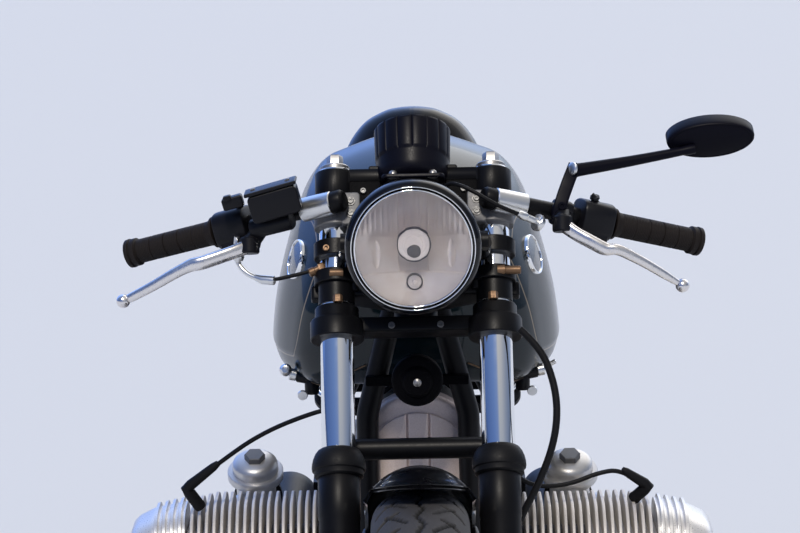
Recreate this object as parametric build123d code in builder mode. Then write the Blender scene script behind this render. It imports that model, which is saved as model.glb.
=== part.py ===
"""Cafe racer motorcycle with an air-cooled flat twin engine, wire wheels and a centre stand.

Millimetres. X is the rider's left, -Y is the front, Z is up. X = 0 is the plane of symmetry,
Z = 0 is the floor, and the origin is where the front tyre meets it.
"""
from math import cos, radians, sin, tan
import os

from build123d import *

os.makedirs("parts", exist_ok=True)

# Chassis
wheelbase = 1475
rake = 28
trail = 105

# Wheels and tyres
front_radius = 316
front_width = 116
rear_radius = 328
rear_width = 130
rear_lift = 12
rim_flange = 240
rim_bed = 230
rim_inner = 212
rim_half = 32
spoke_count = 36
spoke_size = 4

# Fork
leg_half_spacing = 97
leg_offset = 40
stanchion = 41
lower_leg = 50
clamp_low = 787
stanchion_top = 179
seal_top = -190
seal_height = 34
seal_radius = 32.5

# Lamp and gauge
lamp_z = 890
lamp_y = 205
lamp_radius = 83
lens_radius = 70
gauge_radius = 48
gauge_tilt = 35

# Engine
crank_z = 405
engine_front = 405
case_front = 440
case_back = 690
gearbox_back = 850
cylinder_y = {1: 525, -1: 560}
fin_pitch = 10
fin_thick = 2.6
barrel_x = 132
head_x = 222
cover_x = 308

# Rear end and stand
pivot_y = 860
pivot_z = 392
stand_y = 832
stand_z = 236
stand_foot_y = 790
stand_half = 138

# The steering plane: Z runs up the steering axis, Y points back and down, X to the left.
# Its origin is on the axis, at the middle of the lower clamp.
rake_tan = tan(radians(rake))
steer = Plane(
    origin=(0, clamp_low * rake_tan - trail, clamp_low),
    x_dir=(1, 0, 0),
    z_dir=(0, sin(radians(rake)), cos(radians(rake))),
)


def at_steer(x, y, z):
    """The world point of a point given in the steering plane's own axes."""
    return steer.from_local_coords(Vector(x, y, z))


def across(x, y, z):
    """A plane whose normal is +X, with its own X to the back and its own Y up."""
    return Plane(origin=(x, y, z), x_dir=(0, 1, 0), z_dir=(1, 0, 0))


def facing(x, y, z):
    """A plane whose normal is -Y, the way the motorcycle faces, with its own Y up."""
    return Plane(origin=(x, y, z), x_dir=(1, 0, 0), z_dir=(0, -1, 0))


def corner_radii(points):
    """The largest smooth arc at each corner of a route: 0.45 of the shorter run."""
    radii = []
    for before, corner, after in zip(points, points[1:], points[2:]):
        a = Vector(*corner) - Vector(*before)
        b = Vector(*after) - Vector(*corner)
        turn = radians(a.get_angle(b))
        radii.append(0.45 * min(a.length, b.length) / tan(turn / 2))
    return radii


def tube(points, diameter, radius=None, bore=0):
    """Adds a round tube along straight runs joined by tangent arcs to the current part."""
    points = [Vector(*point) for point in points]
    with BuildLine() as route:
        if len(points) == 2:
            Line(*points)
        else:
            FilletPolyline(*points, radius=corner_radii(points) if radius is None else radius)
    start = Plane(origin=route.line @ 0, z_dir=route.line % 0)
    with BuildSketch(start) as section:
        Circle(diameter / 2)
        if bore:
            Circle(bore / 2, mode=Mode.SUBTRACT)
    sweep(section.sketch, path=route.line)


def spoke_bar(start, end):
    """A straight six-sided bar between two points, kept apart from the current part."""
    start = Vector(*start)
    end = Vector(*end)
    with BuildSketch(Plane(origin=start, z_dir=end - start)) as section:
        RegularPolygon(spoke_size / 2, 6)
    return extrude(section.sketch, amount=(end - start).length, mode=Mode.PRIVATE)


def rod(start, end, diameter):
    """Adds a round rod between two points."""
    start = Vector(*start)
    end = Vector(*end)
    with BuildSketch(Plane(origin=start, z_dir=end - start)) as section:
        Circle(diameter / 2)
    extrude(section.sketch, amount=(end - start).length)


def save(builder, name):
    """Labels a finished piece and writes it to its file."""
    builder.part.label = name
    export_step(builder.part, f"parts/{name}.step")


# Tyres: a solid ring with round side walls and a crowned tread, its section in short straight steps
tread_steps = (
    # share of the half width, share of the height from the rim's flange to the crown
    (0.90, 0.16),
    (1.00, 0.43),
    (0.91, 0.70),
    (0.60, 0.91),
    (0.21, 1.00),
)


def tyre(name, wheel_y, radius, width, wheel_z):
    half = [(28, rim_bed), (28, rim_flange)]
    half += [(0.5 * width * out, rim_flange + (radius - rim_flange) * up) for out, up in tread_steps]
    with BuildPart() as piece:
        with BuildSketch(facing(0, wheel_y, wheel_z)) as section:
            Polygon(*half, *[(-x, r) for x, r in reversed(half)], align=None)
        revolve(section.sketch, axis=Axis((0, wheel_y, wheel_z), (1, 0, 0)))
    save(piece, name)


# Wire wheels: an aluminium rim, steel spokes crossing each other and a hub with two flanges
def wire_wheel(name, wheel_y, wheel_z, hub_half, flange_x, flange_radius, core_radius, bore):
    axle = Axis((0, wheel_y, wheel_z), (1, 0, 0))
    with BuildPart() as piece:
        with BuildSketch(facing(0, wheel_y, wheel_z)) as rim:
            with BuildLine():
                half = Polyline((0, rim_bed), (28, rim_bed), (28, rim_flange), (rim_half, rim_flange),
                                (rim_half, rim_bed - 3), (20, rim_inner), (0, rim_inner))
                mirror(half, about=Plane.YZ)
            make_face()
        revolve(rim.sketch, axis=axle)
        with BuildSketch(facing(0, wheel_y, wheel_z)) as hub:
            with BuildLine():
                half = Polyline(
                    (0, bore), (hub_half, bore), (hub_half, bore + 14), (flange_x + 6, core_radius),
                    (flange_x + 6, flange_radius), (flange_x, flange_radius + 3),
                    (flange_x - 6, flange_radius), (flange_x - 10, core_radius), (0, core_radius - 6),
                )
                mirror(half, about=Plane.YZ)
            make_face()
        revolve(hub.sketch, axis=axle)
        spokes = []
        for spoke in range(spoke_count):
            side = 1 if spoke % 2 else -1
            lean = 1 if spoke % 4 < 2 else -1
            rim_angle = radians(360 * spoke / spoke_count)
            hub_angle = rim_angle + lean * radians(46)
            foot = flange_radius - 5
            reach = rim_inner + 4
            hub_end = (side * flange_x, wheel_y + foot * sin(hub_angle), wheel_z + foot * cos(hub_angle))
            rim_end = (side * 6, wheel_y + reach * sin(rim_angle), wheel_z + reach * cos(rim_angle))
            spokes.append(spoke_bar(hub_end, rim_end))
        add(spokes)
    save(piece, name)


rear_z = rear_radius + rear_lift
tyre("front_tyre", 0, front_radius, front_width, front_radius)
tyre("rear_tyre", wheelbase, rear_radius, rear_width, rear_z)
wire_wheel("front_wheel", 0, front_radius, 56, 36, 52, 34, 10)
wire_wheel("rear_wheel", wheelbase, rear_z, 60, 40, 88, 80, 12)

# Front brake discs, one on each side of the hub, with five carrier arms
disc_x = 60
disc_radius = 140
with BuildPart() as front_discs:
    for side in (1, -1):
        with BuildSketch(across(side * disc_x - 2.5, 0, front_radius)) as disc:
            Circle(disc_radius)
            Circle(disc_radius - 34, mode=Mode.SUBTRACT)
        extrude(disc.sketch, amount=5)
        with BuildSketch(across(side * disc_x - 2.5, 0, front_radius)) as carrier:
            with PolarLocations(75, 5):
                Rectangle(70, 18)
            Circle(48)
            Circle(26, mode=Mode.SUBTRACT)
        extrude(carrier.sketch, amount=5)
save(front_discs, "front_discs")

# Fork: chrome stanchions, lower legs with dust seals and axle lugs, and the hollow axle
axle_local = steer.to_local_coords(Vector(0, 0, front_radius))
axle_bore = 14
with BuildPart() as fork_tubes:
    for side in (1, -1):
        with BuildSketch(steer.offset(seal_top)) as section:
            with Locations((side * leg_half_spacing, -leg_offset)):
                Circle(stanchion / 2)
        extrude(section.sketch, amount=stanchion_top - seal_top)
save(fork_tubes, "fork_tubes")

with BuildPart() as fork_lowers:
    for side in (1, -1):
        with BuildSketch(steer.offset(seal_top - seal_height)) as seal:
            with Locations((side * leg_half_spacing, -leg_offset)):
                Circle(seal_radius)
        extrude(seal.sketch, amount=seal_height, taper=6)
        with BuildSketch(steer.offset(axle_local.Z - 18)) as leg:
            with Locations((side * leg_half_spacing, -leg_offset)):
                Circle(lower_leg / 2)
        extrude(leg.sketch, amount=seal_top - seal_height - axle_local.Z + 18)
        with BuildSketch(across(side * 95 - 25, 0, front_radius)) as lug:
            Circle(25)
        extrude(lug.sketch, amount=50)
    rod((-122, 0, front_radius), (122, 0, front_radius), 17)
    with BuildSketch(across(-130, 0, front_radius)) as hollow:
        Circle(axle_bore / 2)
    extrude(hollow.sketch, amount=260, mode=Mode.SUBTRACT)
save(fork_lowers, "fork_lowers")

# Triple clamps: the lower one carries the stem, the upper one the gauge and the fork caps
head_low = -10
head_high = 136
low_clamp_low = -36
low_clamp_high = 0
bridge_low = -34
bridge_high = -15
bridge_front = -45
top_clamp_low = 143
top_clamp_high = 176
top_bridge_low = 160
legs_at = ((leg_half_spacing, -leg_offset), (-leg_half_spacing, -leg_offset))
with BuildPart() as lower_clamp:
    with BuildSketch(steer.offset(low_clamp_low)) as lobes:
        with Locations(*legs_at):
            Circle(33)
        with Locations((leg_half_spacing + 25, -leg_offset), (-leg_half_spacing - 25, -leg_offset)):
            RectangleRounded(32, 30, 8)
    extrude(lobes.sketch, amount=20)
    with BuildSketch(steer.offset(low_clamp_low + 20)) as collars:
        with Locations(*legs_at):
            Circle(27)
    extrude(collars.sketch, amount=low_clamp_high - low_clamp_low - 20)
    with BuildSketch(steer.offset(bridge_low)) as bridge:
        Polygon((-leg_half_spacing, bridge_front), (leg_half_spacing, bridge_front),
                (leg_half_spacing, -12), (30, 26), (-30, 26), (-leg_half_spacing, -12), align=None)
    extrude(bridge.sketch, amount=bridge_high - bridge_low)
    with BuildSketch(steer.offset(low_clamp_low - 4)) as bores:
        with Locations(*legs_at):
            Circle(stanchion / 2)
    extrude(bores.sketch, amount=low_clamp_high - low_clamp_low + 8, mode=Mode.SUBTRACT)
    with BuildSketch(steer.offset(bridge_high)) as stem:
        Circle(14)
    extrude(stem.sketch, amount=top_bridge_low - bridge_high)
save(lower_clamp, "lower_clamp")

with BuildPart() as top_clamp:
    with BuildSketch(steer.offset(top_clamp_low)) as lobes:
        with Locations(*legs_at):
            Circle(25)
    extrude(lobes.sketch, amount=top_clamp_high - top_clamp_low)
    with BuildSketch(steer.offset(top_bridge_low)) as bridge:
        Polygon((-leg_half_spacing, -58), (leg_half_spacing, -58), (leg_half_spacing, -18),
                (30, 26), (-30, 26), (-leg_half_spacing, -18), align=None)
    extrude(bridge.sketch, amount=top_clamp_high - top_bridge_low)
    with BuildSketch(steer.offset(top_clamp_low - 2)) as bores:
        with Locations(*legs_at):
            Circle(stanchion / 2)
    extrude(bores.sketch, amount=top_clamp_high - top_clamp_low + 4, mode=Mode.SUBTRACT)
    with BuildSketch(steer.offset(stanchion_top)) as caps:
        with Locations(*legs_at):
            Circle(18)
    extrude(caps.sketch, amount=6)
    with BuildSketch(steer.offset(stanchion_top + 6)) as hexes:
        with Locations(*legs_at):
            RegularPolygon(10, 6)
    extrude(hexes.sketch, amount=14)
    with BuildSketch(steer.offset(top_clamp_high)) as nut:
        RegularPolygon(18, 6)
    extrude(nut.sketch, amount=8)
save(top_clamp, "top_clamp")

# Front mudguard: a short arched blade between the legs, on two stays and a bowed tubular brace
guard_radius = 345
guard_half = 66
guard_drop = 42
guard_skin = 2.5
guard_start = -14
guard_end = 84
guard_tip = Plane(
    origin=(0, 0, front_radius),
    x_dir=(1, 0, 0),
    z_dir=(0, -cos(radians(guard_start)), sin(radians(guard_start))),
)
brace_z = 642
brace_y = 240
brace_size = 24
stay_size = 12
with BuildPart() as front_mudguard:
    with BuildSketch(guard_tip) as section:
        with BuildLine():
            hem = guard_radius - guard_drop
            low = Line((-guard_half, hem), (-guard_half + guard_skin, hem))
            inner = ThreePointArc(low @ 1, (0, guard_radius - guard_skin), (guard_half - guard_skin, hem))
            edge = Line(inner @ 1, (guard_half, hem))
            ThreePointArc(edge @ 1, (0, guard_radius), low @ 0)
        make_face()
    revolve(section.sketch, axis=Axis((0, 0, front_radius), (-1, 0, 0)),
            revolution_arc=guard_end - guard_start)
    tube(((-leg_half_spacing, 174, 586), (-leg_half_spacing, brace_y, brace_z),
          (leg_half_spacing, brace_y, brace_z), (leg_half_spacing, 174, 586)), brace_size, radius=[24, 24])
    for side in (1, -1):
        rod((side * (guard_half - 1), 236, 534), (side * 74, 150, 520), stay_size)
    add([fork_lowers.part, fork_tubes.part], mode=Mode.SUBTRACT)
save(front_mudguard, "front_mudguard")

# Headlamp: a bowl with a rolled bezel, its lens, and a clamp bracket on each stanchion
lamp_plane = Plane(origin=(0, lamp_y, lamp_z), x_dir=(1, 0, 0), z_dir=(0, 0, 1))
lamp_axis = Axis((0, lamp_y, lamp_z), (0, 1, 0))
bowl_radius = lamp_radius - 3
bowl_start = 34
bowl_back = 104
# The bowl and the lens are parts of spheres whose centres lie on the lamp's axis
bowl_radius_of_arc = (bowl_radius**2 + (bowl_back - bowl_start) ** 2) / (2 * (bowl_back - bowl_start))
lens_bulge = 11
lens_edge = lens_radius - 0.3
lens_sphere = (lens_edge**2 + lens_bulge**2) / (2 * lens_bulge)
with BuildPart() as headlight_shell:
    with BuildSketch(lamp_plane) as bowl:
        with BuildLine():
            rim = Polyline((0, 26), (lens_radius, 26), (lens_radius, 2), (lens_radius + 4, 0),
                           (lens_radius + 8, 1), (lamp_radius - 1, 6), (lamp_radius, 14),
                           (bowl_radius, bowl_start))
            tail = RadiusArc(rim @ 1, (0, bowl_back), -bowl_radius_of_arc)
            Line(tail @ 1, rim @ 0)
        make_face()
    revolve(bowl.sketch, axis=lamp_axis)
    for side in (1, -1):
        for ring_low, ring_high in ((64, 84), (14, 46)):
            with BuildSketch(steer.offset(ring_low)) as ring:
                with Locations((side * leg_half_spacing, -leg_offset)):
                    Circle(stanchion / 2 + 7)
                    Circle(stanchion / 2, mode=Mode.SUBTRACT)
            extrude(ring.sketch, amount=ring_high - ring_low)
        with BuildSketch(steer.offset(20)) as strap:
            with Locations((side * 74, -leg_offset)):
                Rectangle(8, 26)
        extrude(strap.sketch, amount=60)
        rod((side * 60, lamp_y + 50, lamp_z), (side * 90, lamp_y + 50, lamp_z), 26)
        rod((side * 84, lamp_y + 40, lamp_z), (side * 84, lamp_y + 102, lamp_z - 22), 20)
    add(fork_tubes.part, mode=Mode.SUBTRACT)
save(headlight_shell, "headlight_shell")

with BuildPart() as headlight_lens:
    with BuildSketch(lamp_plane) as glass:
        with BuildLine():
            edge = Polyline((0, 2 - lens_bulge), (0, 26), (lens_edge, 26), (lens_edge, 2))
            RadiusArc(edge @ 1, edge @ 0, lens_sphere)
        make_face()
    revolve(glass.sketch, axis=lamp_axis)
save(headlight_lens, "headlight_lens")

# Gauge: a round cup tilted to the rider, on a stay over the upper clamp
gauge_face = Plane(
    origin=(0, 384, 1010),
    x_dir=(1, 0, 0),
    z_dir=(0, sin(radians(gauge_tilt)), cos(radians(gauge_tilt))),
)
with BuildPart() as gauge_cup:
    with BuildSketch(Plane.XZ) as cup:
        with BuildLine():
            Polyline((0, -2), (gauge_radius - 5, -2), (gauge_radius - 4, 0), (gauge_radius, -2),
                     (gauge_radius, -22), (gauge_radius - 3, -26), (gauge_radius - 8, -40),
                     (gauge_radius - 16, -50), (gauge_radius - 27, -56), (0, -56), close=True)
        make_face()
    revolve(cup.sketch, axis=Axis.Z)
with BuildPart() as gauge:
    add(gauge_face.location * gauge_cup.part)
    with BuildSketch(steer.offset(top_clamp_high)) as stay:
        with Locations((0, -40)):
            RectangleRounded(70, 26, 6)
    extrude(stay.sketch, amount=30)
    add(top_clamp.part, mode=Mode.SUBTRACT)
save(gauge, "gauge")

# Clip-on bars under the upper clamp, with rubber grips and end caps
bar_size = 22
bar_in = Vector(96, 303, 935)
bar_out = Vector(362, 400, 860)
bar_run = bar_out - bar_in
grip_start = 0.56
clip_low = 103
clip_high = 141


def on_bar(side, fraction, forward=0, up=0):
    """A point along a handlebar, from its inner end at 0 to its outer end at 1."""
    point = bar_in + bar_run * fraction
    return Vector(side * point.X, point.Y - forward, point.Z + up)


with BuildPart() as clip_ons:
    for side in (1, -1):
        with BuildSketch(steer.offset(clip_low)) as ring:
            with Locations((side * leg_half_spacing, -leg_offset)):
                Circle(stanchion / 2 + 6)
                with Locations((0, -22)):
                    Rectangle(26, 20)
                Circle(stanchion / 2, mode=Mode.SUBTRACT)
        extrude(ring.sketch, amount=clip_high - clip_low)
        rod(on_bar(side, 0.03), on_bar(side, 0.15), 28)
        rod(on_bar(side, 0), on_bar(side, 0.99), bar_size)
save(clip_ons, "clip_ons")

with BuildPart() as grips:
    for side in (1, -1):
        axis = Plane(origin=on_bar(side, grip_start), z_dir=on_bar(side, 1) - on_bar(side, grip_start))
        with BuildSketch(axis) as rubber:
            Circle(17)
            Circle(bar_size / 2, mode=Mode.SUBTRACT)
        extrude(rubber.sketch, amount=bar_run.length * (0.99 - grip_start))
        with BuildSketch(axis) as flange:
            Circle(21)
            Circle(bar_size / 2, mode=Mode.SUBTRACT)
        extrude(flange.sketch, amount=5)
        with BuildSketch(axis.offset(bar_run.length * (0.99 - grip_start))) as cap:
            Circle(17)
        extrude(cap.sketch, amount=6, taper=20)
save(grips, "grips")

# Brake and clutch levers: flat blades that bend down and out to a ball end
lever_routes = {
    -1: ((-200, 306, 894), (-236, 291, 880), (-273, 290, 862), (-357, 312, 816)),
    1: ((180, 300, 900), (226, 288, 880), (278, 288, 853), (330, 306, 820)),
}
with BuildPart() as levers:
    for side, route in lever_routes.items():
        tube(route, 13, radius=24)
        with Locations(route[-1]):
            Sphere(9)
        with Locations(route[0]):
            Cylinder(13, 12)
save(levers, "levers")

# Switch housings round the bars, and lever perches inboard of them
with BuildPart() as switch_housings:
    for side in (1, -1):
        for start, end, size in ((0.4, 0.55, 44), (0.29, 0.36, 34)):
            with BuildSketch(Plane(origin=on_bar(side, start), z_dir=bar_run if side > 0
                                   else Vector(-bar_run.X, bar_run.Y, bar_run.Z))) as shell:
                RectangleRounded(size, size, 9)
                Circle(bar_size / 2, mode=Mode.SUBTRACT)
            extrude(shell.sketch, amount=bar_run.length * (end - start))
        rod(on_bar(side, 0.33, 14), lever_routes[side][0], 22)
    add([levers.part, clip_ons.part], mode=Mode.SUBTRACT)
save(switch_housings, "switch_housings")

# Brake master cylinder with its square reservoir, on the rider's right
reservoir = (62, 44, 42)
reservoir_tilt = 15
with BuildPart() as master_cylinder:
    tank_place = Plane(
        origin=on_bar(-1, 0.27, 40, 18),
        x_dir=(cos(radians(reservoir_tilt)), 0, sin(radians(reservoir_tilt))),
        z_dir=(0, -1, 0),
    )
    with BuildSketch(tank_place.offset(-18)) as cup:
        RectangleRounded(reservoir[0], reservoir[1], 6)
    extrude(cup.sketch, amount=reservoir[2])
    rod(on_bar(-1, 0.48, 44, -6), on_bar(-1, 0.2, 44, -6), 22)
    add([switch_housings.part, levers.part, clip_ons.part], mode=Mode.SUBTRACT)
save(master_cylinder, "master_cylinder")

# Mirror on the rider's left: a clamp, an arm, a stalk and an oval head facing back
mirror_face = Plane(origin=(374, 384, 993), x_dir=(1, 0, 0.1), z_dir=(-0.1, 1, -0.1))
with BuildPart() as mirror_part:
    tube((on_bar(1, 0.33, 0, 12), (206, 345, 976), (352, 376, 988)), 10, radius=14)
    with BuildSketch(mirror_face) as glass_edge:
        Ellipse(54, 31)
    extrude(glass_edge.sketch, amount=8)
    with BuildSketch(mirror_face.offset(-14)) as back:
        Ellipse(40, 19)
    loft(Sketch() + [glass_edge.sketch, back.sketch])
    add([switch_housings.part, clip_ons.part], mode=Mode.SUBTRACT)
save(mirror_part, "mirror")

# Front brake calipers behind the legs, bridging the discs, on a bracket from each leg
caliper_plane = steer.offset(axle_local.Z + 96)
with BuildPart() as front_calipers:
    for side in (1, -1):
        with BuildSketch(caliper_plane.offset(-40)) as block:
            with Locations((side * 66, -leg_offset + 78)):
                RectangleRounded(52, 60, 8)
            with Locations((side * 84, -leg_offset + 40)):
                Rectangle(16, 50)
        extrude(block.sketch, amount=80)
        with BuildSketch(across(side * disc_x - 7.5, 0, front_radius)) as slot:
            Circle(disc_radius + 6)
        extrude(slot.sketch, amount=15, mode=Mode.SUBTRACT)
    add(fork_lowers.part, mode=Mode.SUBTRACT)
save(front_calipers, "front_calipers")

# Brake hose from the lower clamp to the caliper, and the clutch cable over the lamp
hose_route = ((-219, 312, 893), (-223, 315, 868), (-210, 303, 848), (-184, 292, 840), (-152, 288, 846),
              (-118, 292, 854))
low_hose_route = ((126, 236, 784), (148, 232, 764), (163, 222, 732), (170, 208, 694), (165, 197, 652),
                  (147, 189, 606), (124, 187, 564), (103, 188, 518), (90, 182, 468), (84, 166, 424))
cable_route = ((150, 293, 907), (128, 274, 926), (98, 263, 946), (66, 272, 958), (40, 296, 954),
               (28, 317, 926), (23, 320, 888), (20, 312, 850))
with BuildPart() as control_cables:
    for route, size in ((hose_route, 8), (low_hose_route, 9), (cable_route, 7)):
        tube(route, size)
save(control_cables, "control_cables")

# Frame: steering head, backbone, two down tubes into a cradle, and the upright plates
backbone_size = 44
cradle_size = 28
with BuildPart() as frame:
    with BuildSketch(steer.offset(head_low)) as head_tube:
        Circle(27)
        Circle(20, mode=Mode.SUBTRACT)
    extrude(head_tube.sketch, amount=head_high - head_low)
    tube((at_steer(0, 30, 30), (0, 500, 752), (0, 950, 752)), backbone_size, radius=160)
    for side in (1, -1):
        tube((at_steer(side * 20, 44, 62), (side * 64, 386, 650), (side * 68, 386, 250),
              (side * 114, 460, 200), (side * 118, 780, 200), (side * 118, pivot_y + 20, 300),
              (side * 112, pivot_y + 20, 560), (side * 60, pivot_y + 33, 668), (0, pivot_y + 33, 668)),
             cradle_size, radius=[60, 60, 60, 50, 50, 40, 24])
        with BuildSketch(across(side * 104 - 4, stand_y, stand_z)) as lug:
            with Locations((0, -12)):
                Rectangle(44, 60)
        extrude(lug.sketch, amount=8)
    rod((0, pivot_y + 33, 662), (0, pivot_y + 33, 752), 32)
    rod((-118, 700, 200), (118, 700, 200), 22)
    rod((-112, pivot_y + 20, 560), (112, pivot_y + 20, 560), 26)
    with BuildSketch(steer.offset(head_low - 30)) as head_bore:
        Circle(20)
    extrude(head_bore.sketch, amount=head_high - head_low + 60, mode=Mode.SUBTRACT)
save(frame, "frame")

# Rear frame: seat rails closed by a loop behind, and the stays down to the pivot plates
rail_size = 22
battery_rods = ((975, 570), (1062, 628))
with BuildPart() as subframe:
    for side in (1, -1):
        tube(((side * 60, pivot_y + 40, 668), (side * 98, 990, 690), (side * 98, 1180, 738),
              (side * 92, 1396, 747), (side * 40, 1430, 749), (0, 1430, 749)),
             rail_size, radius=[60, 300, 40, 30])
        tube(((side * 114, pivot_y + 30, 470), (side * 112, 930, 540), (side * 104, 1215, 730)),
             rail_size, radius=120)
        rod((side * 98, 1215, 738), (side * 148, 1215, 738), 18)
    rod((-96, 1100, 718), (96, 1100, 718), 18)
    for y, z in battery_rods:
        rod((-108, y, z), (108, y, z), 16)
    add(frame.part, mode=Mode.SUBTRACT)
save(subframe, "subframe")

# Centre stand: a cross tube, two splayed legs with rocker feet, and a foot tang on the left
with BuildPart() as centre_stand:
    rod((-94, stand_y, stand_z), (94, stand_y, stand_z), 34)
    for side in (1, -1):
        tube(((side * 78, stand_y, stand_z), (side * 80, stand_y - 18, 140),
              (side * stand_half, stand_foot_y + 2, 16)), 26, radius=60)
        with BuildSketch(across(side * stand_half - 15, stand_foot_y, 0)) as foot:
            with BuildLine():
                flat = Polyline((46, 14), (30, 0), (-30, 0), (-40, 8))
                ThreePointArc(flat @ 1, (4, 30), flat @ 0)
            make_face()
        extrude(foot.sketch, amount=30)
    rod((-112, stand_foot_y + 8, 70), (112, stand_foot_y + 8, 70), 16)
    tube(((110, stand_foot_y + 8, 74), (140, stand_foot_y + 50, 92), (166, stand_foot_y + 74, 98)),
         14, radius=20)
save(centre_stand, "centre_stand")

# Engine block: a barrel-shaped case with an oil pan, and the tall ribbed cover on its front
with BuildPart() as crankcase:
    with BuildSketch(facing(0, case_back, 0)) as case:
        with BuildLine():
            half = Polyline((0, 232), (96, 232), (104, 286), (barrel_x, 322), (barrel_x, 468), (96, 520),
                            (70, 628), (40, 652), (0, 656))
            mirror(half, about=Plane.YZ)
        make_face()
    extrude(case.sketch, amount=case_back - case_front)
    with BuildSketch(Plane.XY.offset(214)) as pan:
        with Locations((0, 570)):
            RectangleRounded(180, 220, 20)
    extrude(pan.sketch, amount=19)
save(crankcase, "crankcase")

front_half = 76
panel_half = 62
groove_x = 14
with BuildPart() as front_cover:
    with BuildSketch(facing(0, case_front, 0)) as cover:
        with BuildLine():
            right = Polyline((96, 300), (112, 350), (112, 450), (front_half, 524), (front_half, 616))
            crown = ThreePointArc(right @ 1, (0, 674), (-front_half, 616))
            Polyline(crown @ 1, (-front_half, 524), (-112, 450), (-112, 350), (-96, 300), right @ 0)
        make_face()
    extrude(cover.sketch, amount=case_front - engine_front)
    fillet(front_cover.faces().sort_by(Axis.Y)[0].edges(), 9)
    with BuildSketch(facing(0, engine_front, 0)) as panel:
        with BuildLine():
            sides = Polyline((-panel_half, 606), (-panel_half, 450), (panel_half, 450), (panel_half, 606))
            ThreePointArc(sides @ 1, (0, 648), sides @ 0)
        make_face()
        with Locations((groove_x, 550), (-groove_x, 550)):
            Rectangle(2.4, 220, mode=Mode.SUBTRACT)
    extrude(panel.sketch, amount=4)
save(front_cover, "front_cover")

# Gearbox: a bell housing that narrows to the back, with the shaft's boss on the right
with BuildPart() as gearbox:
    with BuildSketch(facing(0, case_back, 0)) as bell:
        with Locations((0, 395)):
            RectangleRounded(256, 240, 60)
    with BuildSketch(facing(0, case_back + 60, 0)) as waist:
        with Locations((0, 400)):
            RectangleRounded(196, 200, 30)
    loft(Sketch() + [bell.sketch, waist.sketch])
    with BuildSketch(facing(0, case_back + 60, 0)) as body:
        with Locations((0, 400)):
            RectangleRounded(196, 200, 30)
    extrude(body.sketch, amount=-(gearbox_back - 20 - case_back - 60))
save(gearbox, "gearbox")

# Cylinders and heads: upright fin plates on a core, one pair on each side
barrel_fin = (200, 224)
head_fin = (206, 224)
fin_corner = 76
barrel_count = 9
head_shrink = (0, 0, 0, 0, 0, 4, 10, 16)
with BuildPart() as cylinders:
    for side, y in cylinder_y.items():
        plates = []
        for fin in range(barrel_count):
            with BuildSketch(across(side * (barrel_x + 5 + fin * fin_pitch), y, crank_z)) as plate:
                RectangleRounded(*barrel_fin, fin_corner)
            plates.append(extrude(plate.sketch, amount=side * fin_thick, mode=Mode.PRIVATE))
        with BuildSketch(across(side * barrel_x, y, crank_z)) as core:
            Circle(62)
        plates.append(extrude(core.sketch, amount=side * (head_x - barrel_x), mode=Mode.PRIVATE))
        add(plates)
save(cylinders, "cylinders")

with BuildPart() as heads:
    for side, y in cylinder_y.items():
        plates = []
        for fin, shrink in enumerate(head_shrink):
            with BuildSketch(across(side * (head_x + 5 + fin * fin_pitch), y, crank_z)) as plate:
                RectangleRounded(head_fin[0] - shrink, head_fin[1] - shrink, fin_corner - shrink / 2)
            plates.append(extrude(plate.sketch, amount=side * fin_thick * 1.1, mode=Mode.PRIVATE))
        with BuildSketch(across(side * head_x, y, crank_z)) as core:
            RectangleRounded(150, 128, 24)
        plates.append(extrude(core.sketch, amount=side * (cover_x - head_x), mode=Mode.PRIVATE))
        with BuildSketch(facing(side * 252, y - 60, crank_z - 30)) as port:
            Circle(26)
        plates.append(extrude(port.sketch, amount=52, mode=Mode.PRIVATE))
        with BuildSketch(facing(side * 245, y + 106, crank_z + 52)) as inlet:
            Circle(24)
        plates.append(extrude(inlet.sketch, amount=46, mode=Mode.PRIVATE))
        add(plates)
save(heads, "heads")

cover_sections = (
    # distance out from the head, size along Y, size along Z, corner radius
    (0, 152, 206, 66),
    (44, 146, 188, 64),
    (64, 138, 164, 60),
    (75, 116, 128, 50),
)
rib_count = 4
rib_pitch = 10.5
with BuildPart() as valve_covers:
    for side, y in cylinder_y.items():
        profiles = []
        for out, size_y, size_z, corner in cover_sections:
            with BuildSketch(across(side * (cover_x + out), y, crank_z)) as profile:
                RectangleRounded(size_y, size_z, corner)
            profiles.append(profile.sketch)
        pieces = [loft(Sketch() + profiles, ruled=True, mode=Mode.PRIVATE)]
        for rib in range(rib_count):
            with BuildSketch(across(side * (cover_x + 5 + rib * rib_pitch), y, crank_z)) as ring:
                RectangleRounded(160 - 2 * rib, 212 - 5 * rib, 68)
            pieces.append(extrude(ring.sketch, amount=side * 4, mode=Mode.PRIVATE))
        add(pieces)
save(valve_covers, "valve_covers")

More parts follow.
